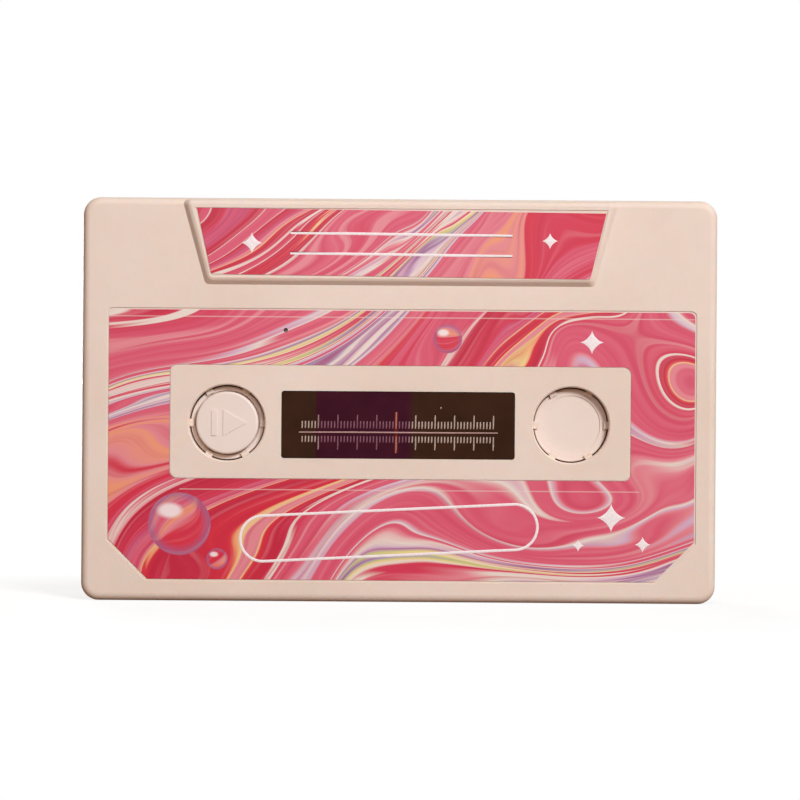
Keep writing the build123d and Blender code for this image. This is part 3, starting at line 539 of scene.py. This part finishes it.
def finish_material(name, coat=0.0, coat_roughness=0.1, specular=0.5, ior=1.5, metallic=0.0, roughness=0.5):
    """Principled material with its constant values on its own sockets, and its Graph."""
    material = bpy.data.materials.new(name)
    material.use_nodes = True
    shader = material.node_tree.nodes["Principled BSDF"]
    shader.inputs["Coat Weight"].default_value = coat
    shader.inputs["Coat Roughness"].default_value = coat_roughness
    shader.inputs["Specular IOR Level"].default_value = specular
    shader.inputs["IOR"].default_value = ior
    shader.inputs["Metallic"].default_value = metallic
    shader.inputs["Roughness"].default_value = roughness
    return material, Graph(material.node_tree), shader


def moulded(name, colour, roughness=0.45, grain=5.0, depth=0.004, specular=0.5, coat=0.0, glow=0.0):
    """Moulded plastic finish, whose glow is the share of light that wanders under its skin, red furthest."""
    material, g, shader = finish_material(name, specular=specular, coat=coat)
    shader.inputs["Subsurface Weight"].default_value = glow
    shader.inputs["Subsurface Radius"].default_value = GLOW_REACH
    shader.inputs["Subsurface Scale"].default_value = MM
    made = g.use(effects["moulding"], Position=g.place(), Colour=colour, Grain=grain)
    g.feed(shader.inputs["Base Color"], made["Colour"])
    g.feed(shader.inputs["Roughness"], g.math("ADD", made["Roughness"], roughness))
    g.feed(shader.inputs["Normal"], g.bump(made["Height"], depth))
    return material


def metal(name, colour, depth=0.002):
    """Drawn or brushed metal finish."""
    material, g, shader = finish_material(name, metallic=1.0)
    made = g.use(effects["brushing"], Position=g.place(), Colour=colour)
    g.feed(shader.inputs["Base Color"], made["Colour"])
    g.feed(shader.inputs["Roughness"], made["Roughness"])
    g.feed(shader.inputs["Normal"], g.bump(made["Height"], depth))
    return material


def printed(name, turn, sheet, seams=(), beads=()):
    """Marbled print under a satin laminate. A thin pale score line runs across at each seam's height, from
    its left end to its right end, and glassy beads are printed over the marbling."""
    material, g, shader = finish_material(name, coat=0.25, coat_roughness=0.35, specular=0.35)
    place = g.place()
    made = g.use(effects["marbling"], Position=place, Turn=turn, Sheet=sheet)
    colour = made["Colour"]
    x, _, z = g.split(place)
    for bead in beads:
        colour = printed_bead(g, place, colour, bead, turn, sheet)
    for height, left, right in seams:
        off = g.math("ABSOLUTE", g.math("SUBTRACT", z, height))
        reach = g.math("MULTIPLY", g.math("GREATER_THAN", x, left), g.math("LESS_THAN", x, right))
        seam = g.math("MULTIPLY", reach, g.span(off, *SEAM_EDGE, SEAM_STRENGTH, 0.0))
        colour = g.blend(seam, colour, CREAM)
    g.feed(shader.inputs["Base Color"], colour)
    g.feed(shader.inputs["Roughness"], g.span(made["Strand"], *NOISE, *LAMINATE_ROUGHNESS))
    g.feed(shader.inputs["Normal"], g.bump(g.noise(place, LAMINATE_WAVES, detail=2.0), LAMINATE_DEPTH))
    return material


def printed_bead(g, place, colour, bead, turn, sheet):
    """A printed glass bead: the marbling drawn together towards its middle, a warm glow low down, a plum
    rim and a pale window of light at the upper left."""
    x0, z0, radius = bead
    offset = g.vector("MULTIPLY", g.vector("SUBTRACT", place, (x0, 0.0, z0)), (1 / radius, 0.0, 1 / radius))
    reach = g.vector("LENGTH", offset, out="Value")
    _, _, up = g.split(offset)
    pull = g.math("MULTIPLY", g.math("POWER", reach, 3.0), BEAD_DRAW * radius)
    drawn = g.vector("SCALE", offset, scale=pull)
    glass = g.use(effects["marbling"], Position=g.vector("ADD", place, drawn), Turn=turn,
                  Sheet=sheet + BEAD_SHEET_STEP)["Colour"]
    glass = g.blend(g.span(up, *BEAD_GLOW, smooth=True), glass, RED)
    glass = g.blend(g.span(reach, *BEAD_RIM, smooth=True), glass, PLUM)
    window = g.vector("MULTIPLY", g.vector("SUBTRACT", offset, BEAD_LIGHT_PLACE), BEAD_LIGHT_SHAPE)
    light = g.span(g.vector("LENGTH", window, out="Value"), *BEAD_LIGHT, smooth=True)
    glass = g.blend(light, glass, PALE)
    return g.blend(g.span(reach, *BEAD_EDGE), colour, glass)


def tinted_zone(g, x, left_edge, right_edge):
    """1 between the zone's two ends and 0 outside, turning over the given stretch at each end."""
    start, stop = TINTED_ZONE_X
    after_start = g.span(x, start + left_edge[0], start + left_edge[1])
    before_stop = g.span(x, stop + right_edge[0], stop + right_edge[1], 1.0, 0.0)
    return g.math("MULTIPLY", after_start, before_stop)


def dial_print(name):
    """Dark smoked film of the dial: brown, with a plum tinted zone and an orange glow painted beside the
    needle.
    """
    material, g, shader = finish_material(name, coat=0.0, specular=0.15, roughness=0.12)
    place = g.place()
    x, _, z = g.split(place)
    smoke = g.noise(place, FILM_SMOKE, detail=3.0)
    brown = g.blend(g.span(smoke, *NOISE), srgb(52, 30, 19), srgb(61, 35, 23))
    plum = g.blend(g.span(smoke, *NOISE), srgb(56, 16, 30), srgb(65, 22, 36))
    colour = g.blend(tinted_zone(g, x, ZONE_LEFT_ON_FILM, ZONE_RIGHT_ON_FILM), brown, plum)
    # Painted glow: the film turns orange-red beside the needle and fades with distance from it
    needle_x = TICK_FIRST_X + TICK_NEEDLE * TICK_PITCH
    off = g.math("ABSOLUTE", g.math("SUBTRACT", x, needle_x))
    beside = g.math("LESS_THAN", g.math("ABSOLUTE", g.math("SUBTRACT", z, DIAL_LINE_Z)), NEEDLE_REACH)
    tint = g.math("MULTIPLY", beside, g.span(off, *PAINTED_NEEDLE_GLOW, smooth=True))
    colour = g.blend(tint, colour, srgb(112, 38, 22))
    g.feed(shader.inputs["Base Color"], colour)
    g.feed(shader.inputs["Roughness"], g.span(smoke, *NOISE, *FILM_ROUGHNESS))
    return material


def dial_ink(name):
    """Cream ink of the scale, dimmed and reddened where the tinted zone lies over it."""
    material, g, shader = finish_material(name, specular=0.3)
    place = g.place()
    x, _, _ = g.split(place)
    wear = g.noise(place, SCALE_INK_WEAR, detail=2.0)
    cream = g.blend(g.span(wear, *NOISE), srgb(160, 134, 120), srgb(188, 162, 148))
    dim = g.blend(g.span(wear, *NOISE), srgb(112, 66, 82), srgb(136, 86, 98))
    zone = tinted_zone(g, x, ZONE_LEFT_ON_INK, ZONE_RIGHT_ON_INK)
    g.feed(shader.inputs["Base Color"], g.blend(zone, cream, dim))
    g.feed(shader.inputs["Roughness"], g.span(wear, *NOISE, *SCALE_INK_ROUGHNESS))
    return material


def plain_ink(name, light, dark, roughness=0.5):
    """Screen-printed ink with a slightly uneven body."""
    material, g, shader = finish_material(name, specular=0.3)
    body = g.noise(g.place(), INK_BODY, detail=3.0)
    gloss = g.span(body, *NOISE, roughness - INK_SWING, roughness + INK_SWING)
    g.feed(shader.inputs["Base Color"], g.blend(g.span(body, *NOISE), dark, light))
    g.feed(shader.inputs["Roughness"], gloss)
    return material


def clear(name, colour, roughness=0.08):
    """Clear or smoked acrylic with faint flow marks."""
    material, g, shader = finish_material(name, ior=1.49)
    shader.inputs["Transmission Weight"].default_value = 1.0
    flow = g.noise(g.place(), FLOW_MARKS, detail=2.0)
    deeper = (*[part * FLOW_TONE for part in colour[:3]], 1)
    g.feed(shader.inputs["Base Color"], g.blend(g.span(flow, *NOISE), colour, deeper))
    g.feed(shader.inputs["Roughness"], g.span(flow, *NOISE, roughness, roughness + FLOW_GLOSS))
    return material


def circuit_board(name):
    """Green solder mask over etched tracks: a grid of lines bent at random blocks, with bare pads."""
    material, g, shader = finish_material(name, coat=0.3)
    place = g.place()
    x, _, z = g.split(place)
    blocks = g.vector("SNAP", place, (BOARD_BLOCK, BOARD_LAYER, BOARD_BLOCK))
    block = g.noise(blocks, BOARD_BLOCK_NOISE, detail=0.0)
    along = g.math("PINGPONG", x, TRACK_HALF_PITCH)
    upward = g.math("PINGPONG", z, TRACK_HALF_PITCH)
    line = g.blend(g.math("GREATER_THAN", block, 0.5), along, upward)
    track = g.span(line, *TRACK_EDGE)
    rounded = g.vector("ADD", place, (PAD_PITCH / 2, 0.0, PAD_PITCH / 2))
    nearest = g.vector("SNAP", rounded, (PAD_PITCH, BOARD_LAYER, PAD_PITCH))
    off_pad = g.vector("DISTANCE", nearest, g.join(x, 0.0, z), out="Value")
    pad = g.math("LESS_THAN", off_pad, PAD_RADIUS)
    green = g.blend(track, srgb(46, 118, 70), srgb(24, 92, 48))
    padded = g.math("MULTIPLY", pad, PAD_STRENGTH)
    g.feed(shader.inputs["Base Color"], g.blend(padded, green, srgb(196, 190, 170)))
    g.feed(shader.inputs["Roughness"], g.span(g.noise(place, MASK_WAVES), *NOISE, *MASK_ROUGHNESS))
    g.feed(shader.inputs["Normal"], g.bump(track, TRACK_DEPTH))
    return material


def card_paper(name):
    """White writing card with fibres."""
    material, g, shader = finish_material(name, specular=0.2, roughness=0.8)
    made = g.use(effects["fibres"], Position=g.place(), Colour=srgb(246, 240, 230))
    g.feed(shader.inputs["Base Color"], made["Colour"])
    g.feed(shader.inputs["Normal"], g.bump(made["Height"], PAPER_DEPTH))
    return material


effects = {
    "moulding": make_moulding(),
    "marbling": make_marbling(),
    "brushing": make_brushing(),
    "fibres": make_fibres(),
}

finishes = {
    "case_plastic": moulded("blush_plastic", srgb(229, 206, 190), roughness=0.5, specular=0.3, glow=0.35),
    "button_plastic": moulded("button_plastic", srgb(231, 209, 196), roughness=0.46, specular=0.35),
    "printed_film": printed("marbled_label", LABEL_STRAND_TURN, LABEL_SHEET, LABEL_SEAMS, BEADS),
    "title_film": printed("marbled_title", TITLE_STRAND_TURN, TITLE_SHEET),
    "smoked_acrylic": clear("smoked_acrylic", srgb(120, 96, 84)),
    "dial_print": dial_print("dial_film"),
    "clear_plastic": clear("light_guide_acrylic", srgb(240, 240, 236), roughness=0.2),
    "led_body": moulded("led_resin", srgb(244, 232, 170), roughness=0.3, grain=8.0, depth=0.002),
    "steel": metal("zinc_steel", srgb(194, 195, 195)),
    "nickel": metal("nickel_plate", srgb(204, 202, 196)),
    "board": circuit_board("solder_mask"),
    "chip_black": moulded("epoxy_black", srgb(38, 38, 40), roughness=0.55, grain=7.0, depth=0.006),
    "ceramic_part": moulded("ceramic_tan", srgb(178, 148, 112), roughness=0.5, grain=9.0, depth=0.004),
    "switch_black": moulded("switch_black", srgb(30, 30, 32), roughness=0.5, grain=6.0),
    "switch_plunger": moulded("switch_plunger", srgb(89, 89, 90), roughness=0.4, grain=6.0),
    "speaker_steel": metal("speaker_steel", srgb(80, 80, 82)),
    "ferrite": moulded("ferrite", srgb(74, 74, 77), roughness=0.6, grain=4.0, depth=0.02),
    "membrane": moulded("membrane", srgb(172, 168, 160), roughness=0.35, grain=2.0, depth=0.01, coat=0.3),
    "foam": moulded("foam", srgb(44, 44, 46), roughness=0.95, grain=3.5, depth=0.08),
    "rubber_boot": moulded("rubber_boot", srgb(44, 40, 40), roughness=0.75, grain=4.0, depth=0.008),
    "mic_metal": metal("mic_can", srgb(190, 188, 184)),
    "cell_steel": metal("cell_can", srgb(196, 196, 196)),
    "contact_metal": metal("contact_nickel", srgb(205, 202, 194)),
    "tray_plastic": moulded("tray_plastic", srgb(194, 186, 175), roughness=0.55),
    "lead_insulation": moulded("lead_insulation", srgb(170, 34, 34), roughness=0.45, grain=6.0),
    "card_paper": card_paper("writing_card"),
}


def dress_nodes():
    """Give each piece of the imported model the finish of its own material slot."""
    for node in nodes.values():
        for slot in node.material_slots:
            slot.material = finishes[slot.material.name]


# Printed marks, each a thin closed body of ink


def ink_strokes(name, strokes, front_y, body, material):
    """Strokes of ink, each given as centre x, centre z, half width, half height and turn in degrees.
    Over a grid of u and v from -1 to 1 the ink stands proud by its thickness times (1 - u^4)(1 - v^4),
    so that its rim meets the film; one flat face closes its back."""
    across = np.linspace(-1, 1, LINE_POINTS)
    u, v = (grid.ravel() for grid in np.meshgrid(across, across))
    proud = INK_THICKNESS * (1 - u ** 4) * (1 - v ** 4)
    strokes = np.asarray(strokes, float)
    x0, z0, half_x, half_z, turn = (column[:, None] for column in strokes.T)
    turn = np.radians(turn)
    along = half_x * u
    upward = half_z * v
    x = x0 + along * np.cos(turn) - upward * np.sin(turn)
    z = z0 + along * np.sin(turn) + upward * np.cos(turn)
    y = np.broadcast_to(front_y / MM - proud, x.shape)
    places = np.stack([x, y, z], -1).reshape(-1, 3) * MM
    count = len(u)
    index = np.arange(count).reshape(LINE_POINTS, LINE_POINTS)
    quads = np.stack([index[:-1, :-1], index[:-1, 1:], index[1:, 1:], index[1:, :-1]], -1).reshape(-1, 4)
    rim = np.concatenate([index[0, :-1], index[:-1, -1], index[-1, :0:-1], index[:0:-1, 0]])[::-1]
    faces = []
    for number in range(len(strokes)):
        faces += (quads + count * number).tolist()
        faces.append((rim + count * number).tolist())
    return add_piece(name, places, faces, body, material)


def add_piece(name, places, faces, body, material):
    """Mesh object at the origin, riding on a body."""
    mesh = bpy.data.meshes.new(name)
    mesh.from_pydata(places.tolist(), [], faces)
    mesh.update()
    piece = bpy.data.objects.new(name, mesh)
    piece.data.materials.append(material)
    bpy.context.scene.collection.objects.link(piece)
    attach(piece, body)
    return piece


def ink_ring(name, middle, halves, turn, width, front_y, body, material):
    """Outline of a bar with round ends: a circle of the bar's half height, whose left and right halves
    are moved apart. Across the line, v from -1 to 1, the ink stands proud by its thickness x (1 - v^4),
    and one flat strip closes its back."""
    around = np.linspace(0, 2 * np.pi, RING_POINTS, endpoint=False) + np.pi / RING_POINTS
    across = np.linspace(-1, 1, LINE_POINTS)
    t, v = np.meshgrid(around, across, indexing="ij")
    radius = halves[1] + v * width / 2
    along = radius * np.cos(t) + np.sign(np.cos(t)) * (halves[0] - halves[1])
    upward = radius * np.sin(t)
    turn = math.radians(turn)
    x = middle[0] + along * math.cos(turn) - upward * math.sin(turn)
    z = middle[1] + along * math.sin(turn) + upward * math.cos(turn)
    y = front_y / MM - INK_THICKNESS * (1 - v ** 4)
    places = np.stack([x, y, z], -1).reshape(-1, 3) * MM
    index = np.arange(t.size).reshape(t.shape)
    after = np.roll(index, -1, axis=0)
    outward = np.roll(index, -1, axis=1)
    outward_after = np.roll(after, -1, axis=1)
    faces = np.stack([index, outward, outward_after, after], -1).reshape(-1, 4).tolist()
    return add_piece(name, places, faces, body, material)


def ink_sparks(name, sparks, front_y, body, material):
    """Four-pointed sparks, each given as centre x, centre z and size. A point at angle t and reach r from
    0 to 1 lies at size x r x (cos^3 t, sin^3 t) and stands proud by the ink's thickness x (1 - r^4); a
    fan to a point at the middle closes the front, and another one the back."""
    around = np.linspace(0, 2 * np.pi, SPARK_POINTS, endpoint=False)
    r, t = np.meshgrid(SPARK_REACH, around, indexing="ij")
    flat_x = (r * np.cos(t) ** 3).ravel()
    flat_z = (r * np.sin(t) ** 3).ravel()
    flat_x = np.concatenate([[0.0, 0.0], flat_x])
    flat_z = np.concatenate([[0.0, 0.0], flat_z])
    proud = INK_THICKNESS * np.concatenate([[1.0, 0.0], (1 - r ** 4).ravel()])
    index = 2 + np.arange(r.size).reshape(r.shape)
    after = np.roll(index, -1, axis=1)
    front = [[0, a, b] for a, b in zip(index[0].tolist(), after[0].tolist())]
    back = [[1, b, a] for a, b in zip(index[-1].tolist(), after[-1].tolist())]
    rings = np.stack([index[:-1], index[1:], after[1:], after[:-1]], -1).reshape(-1, 4).tolist()
    places = []
    faces = []
    for number, (x0, z0, size) in enumerate(sparks):
        y = front_y / MM - proud
        places.append(np.stack([x0 + size * flat_x, y, z0 + size * flat_z], -1) * MM)
        step = number * len(proud)
        faces += [[point + step for point in face] for face in front + rings + back]
    return add_piece(name, np.concatenate(places), faces, body, material)


def upright_stroke(x, low, high, width):
    return (x, (low + high) / 2, width / 2, (high - low) / 2, 0.0)


def dial_scale():
    """The long line, ticks above and below it, the needle in place of one tick, and a speck of ink."""
    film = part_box("dial_film")[0].y
    middle = sum(DIAL_LINE_X) / 2
    half = (DIAL_LINE_X[1] - DIAL_LINE_X[0]) / 2
    line_ink = plain_ink("line_ink", srgb(188, 148, 140), srgb(172, 132, 126))
    line = (middle, DIAL_LINE_Z, half, LINE_WIDTH / 2, 0.0)
    ink_strokes("dial_line", [line], film, "case", line_ink)
    strokes = []
    for number in range(TICK_COUNT):
        if number == TICK_NEEDLE:
            continue
        x = TICK_FIRST_X + number * TICK_PITCH
        major = number % TICK_MAJOR_STEP == TICK_MAJOR_START
        up = TICK_MAJOR if major else TICK_MINOR_UP
        down = TICK_MAJOR if major else TICK_MINOR_DOWN
        strokes.append(upright_stroke(x, DIAL_LINE_Z + TICK_GAP, DIAL_LINE_Z + up, TICK_WIDTH))
        strokes.append(upright_stroke(x, DIAL_LINE_Z - down, DIAL_LINE_Z - TICK_GAP, TICK_WIDTH))
    ink_strokes("dial_ticks", strokes, film, "case", dial_ink("dial_ink"))
    x = TICK_FIRST_X + TICK_NEEDLE * TICK_PITCH
    needle = [upright_stroke(x, DIAL_LINE_Z + TICK_GAP, DIAL_LINE_Z + NEEDLE_REACH, NEEDLE_WIDTH),
              upright_stroke(x, DIAL_LINE_Z - NEEDLE_REACH, DIAL_LINE_Z - TICK_GAP, NEEDLE_WIDTH)]
    ink = plain_ink("needle_ink", srgb(180, 114, 98), srgb(162, 96, 84))
    ink_strokes("dial_needle", needle, film, "case", ink)
    speck = (*SPECK, SPECK_HALF, SPECK_HALF, SPECK_TURN)
    ink_strokes("dial_speck", [speck], film, "case", line_ink)


def label_marks():
    """Ruled lines to write on, a field with round ends and small sparks, in plain white ink."""
    ink = plain_ink("white_ink", srgb(244, 232, 228), srgb(234, 214, 212))
    low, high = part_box("title_label")
    middle_x = (low.x + high.x) / 2 / MM
    middle_z = (low.z + high.z) / 2 / MM
    slope = math.tan(math.radians(TITLE_TURN))
    rules = [(middle_x + slope * (middle_z - z), z, TITLE_RULE_HALF, RULE_WIDTH / 2, TITLE_TURN)
             for z in TITLE_RULE_Z]
    ink_strokes("title_rules", rules, low.y, "case", ink)
    ink_sparks("title_sparks", TITLE_SPARKS, low.y, "case", ink)
    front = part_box("face_label")[0].y
    ink_ring("name_field", FIELD_MIDDLE, FIELD_HALF, FIELD_TURN, RULE_WIDTH, front, "case", ink)
    ink_sparks("label_sparks", SPARKS, front, "case", ink)


def card_lines():
    """Ruled lines to write the message on, evenly spaced about the middle of the card in the lid."""
    low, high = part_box("message_card")
    middle_x = (low.x + high.x) / 2 / MM
    middle_z = (low.z + high.z) / 2 / MM
    half = (high.x - low.x) / 2 / MM - CARD_RULE_INSET
    lowest = middle_z - (CARD_RULES - 1) / 2 * CARD_RULE_PITCH
    heights = [lowest + number * CARD_RULE_PITCH for number in range(CARD_RULES)]
    rules = [(middle_x, height, half, CARD_RULE_WIDTH / 2, 0.0) for height in heights]
    ink = plain_ink("rule_ink", srgb(196, 150, 150), srgb(182, 132, 134))
    ink_strokes("card_rules", rules, low.y, "lid", ink)


# The floor and the white surroundings


def add_floor():
    """Pale round floor: rings of points, each further out than the one before by the same share."""
    radius = np.geomspace(*FLOOR_RADII, FLOOR_RINGS)
    angle = np.linspace(0, 2 * np.pi, FLOOR_SPOKES, endpoint=False)
    ring, turn = np.meshgrid(radius, angle, indexing="ij")
    places = np.stack([ring * np.cos(turn), ring * np.sin(turn), np.zeros_like(ring)], -1).reshape(-1, 3)
    places = np.concatenate([[[0, 0, 0]], places])
    places[:, 2] -= FLOOR_DROP
    count = len(angle)
    index = 1 + np.arange(places.shape[0] - 1).reshape(-1, count)
    step = np.roll(index, -1, axis=1)
    quads = np.stack([index[:-1], index[1:], step[1:], step[:-1]], -1).reshape(-1, 4).tolist()
    fan = [[0, a, b] for a, b in zip(index[0].tolist(), step[0].tolist())]
    mesh = bpy.data.meshes.new("floor")
    mesh.from_pydata(places.tolist(), [], fan + quads)
    mesh.update()
    floor = bpy.data.objects.new("floor", mesh)
    bpy.context.scene.collection.objects.link(floor)
    floor.data.materials.append(floor_material())


def floor_material():
    """Pale floor, whose tone is plain near the card and fades to white further out. To light and to blurred
    bounces it is matt and throws back its own colour; looked at, straight or in gloss or glass, it glows."""
    material = bpy.data.materials.new("floor")
    material.use_nodes = True
    tree = material.node_tree
    tree.nodes.clear()
    g = Graph(tree)
    x, y, _ = g.split(g.node("TexCoord").outputs["Object"])
    across = g.math("MULTIPLY", x, 1 / FLOOR_OVAL[0])
    away = g.math("MULTIPLY", y, 1 / FLOOR_OVAL[1])
    reach = g.vector("LENGTH", g.join(across, away, 0.0), out="Value")
    far = g.span(reach, *FLOOR_FADE, smooth=True)
    paper = g.noise(g.node("TexCoord").outputs["Object"], FLOOR_MOTTLE, detail=3.0)
    path = g.node("LightPath").outputs
    matt = g.node("BsdfDiffuse")
    seen_tone = g.blend(g.span(paper, *NOISE), FLOOR_DARK, FLOOR_LIGHT)
    g.feed(matt.inputs["Color"], g.blend(path["Is Camera Ray"], FLOOR_BOUNCE, seen_tone))
    glow = g.node("Emission")
    g.feed(glow.inputs["Strength"], g.span(path["Is Glossy Ray"], 0.0, 1.0, FLOOR_GLOW, FLOOR_GLOSS))
    lifted = g.node("AddShader")
    g.feed(lifted.inputs[0], matt.outputs[0])
    g.feed(lifted.inputs[1], glow.outputs[0])
    white = g.node("Emission")
    behind = g.span(y, *FLOOR_GLOSS_REACH, FLOOR_GLOSS, 1.0, smooth=True)
    g.feed(white.inputs["Strength"], g.blend(path["Is Glossy Ray"], WHITE, behind))
    seen = g.node("MixShader")
    g.feed(seen.inputs[0], far)
    g.feed(seen.inputs[1], lifted.outputs[0])
    g.feed(seen.inputs[2], white.outputs[0])
    unlit = g.math("MAXIMUM", path["Is Glossy Ray"], path["Is Transmission Ray"])
    looked_at = g.math("MAXIMUM", path["Is Camera Ray"], unlit)
    either = g.node("MixShader")
    g.feed(either.inputs[0], looked_at)
    g.feed(either.inputs[1], matt.outputs[0])
    g.feed(either.inputs[2], seen.outputs[0])
    out = g.node("OutputMaterial")
    g.feed(out.inputs["Surface"], either.outputs[0])
    return material


def set_surroundings():
    """White where it is looked at, also in gloss and glass behind the card, and a soft warm sky for light."""
    scene = bpy.context.scene
    scene.view_settings.view_transform = "Standard"
    world = scene.world or bpy.data.worlds.new("surroundings")
    scene.world = world
    world.use_nodes = True
    world.node_tree.nodes.clear()
    g = Graph(world.node_tree)
    direction = g.node("TexCoord").outputs["Generated"]
    _, y, _ = g.split(direction)
    behind = g.span(y, *REAR_GLOSS, FRONT_GLOSS, 1.0, smooth=True)
    path = g.node("LightPath").outputs
    straight = g.math("MAXIMUM", path["Is Camera Ray"], path["Is Transmission Ray"])
    upward = g.vector("DOT_PRODUCT", direction, SKY_BRIGHTEST, out="Value")
    sky = g.blend(g.span(upward, *SKY_FADE, smooth=True), SKY_DIM, SKY_BRIGHT)
    glossy = g.blend(path["Is Glossy Ray"], sky, behind)
    backdrop = g.node("Background")
    g.feed(backdrop.inputs["Color"], g.blend(straight, glossy, WHITE))
    out = g.node("OutputWorld")
    g.feed(out.inputs["Surface"], backdrop.outputs[0])


add_camera()
add_lamp("key_lamp", KEY_PLACE, KEY_SIZE, KEY_SHARE)
add_lamp("top_lamp", TOP_PLACE, TOP_SIZE, TOP_SHARE)
add_lamp("rear_lamp", REAR_PLACE, REAR_SIZE, REAR_SHARE)
set_surroundings()
add_floor()
dress_nodes()
dial_scale()
label_marks()
card_lines()
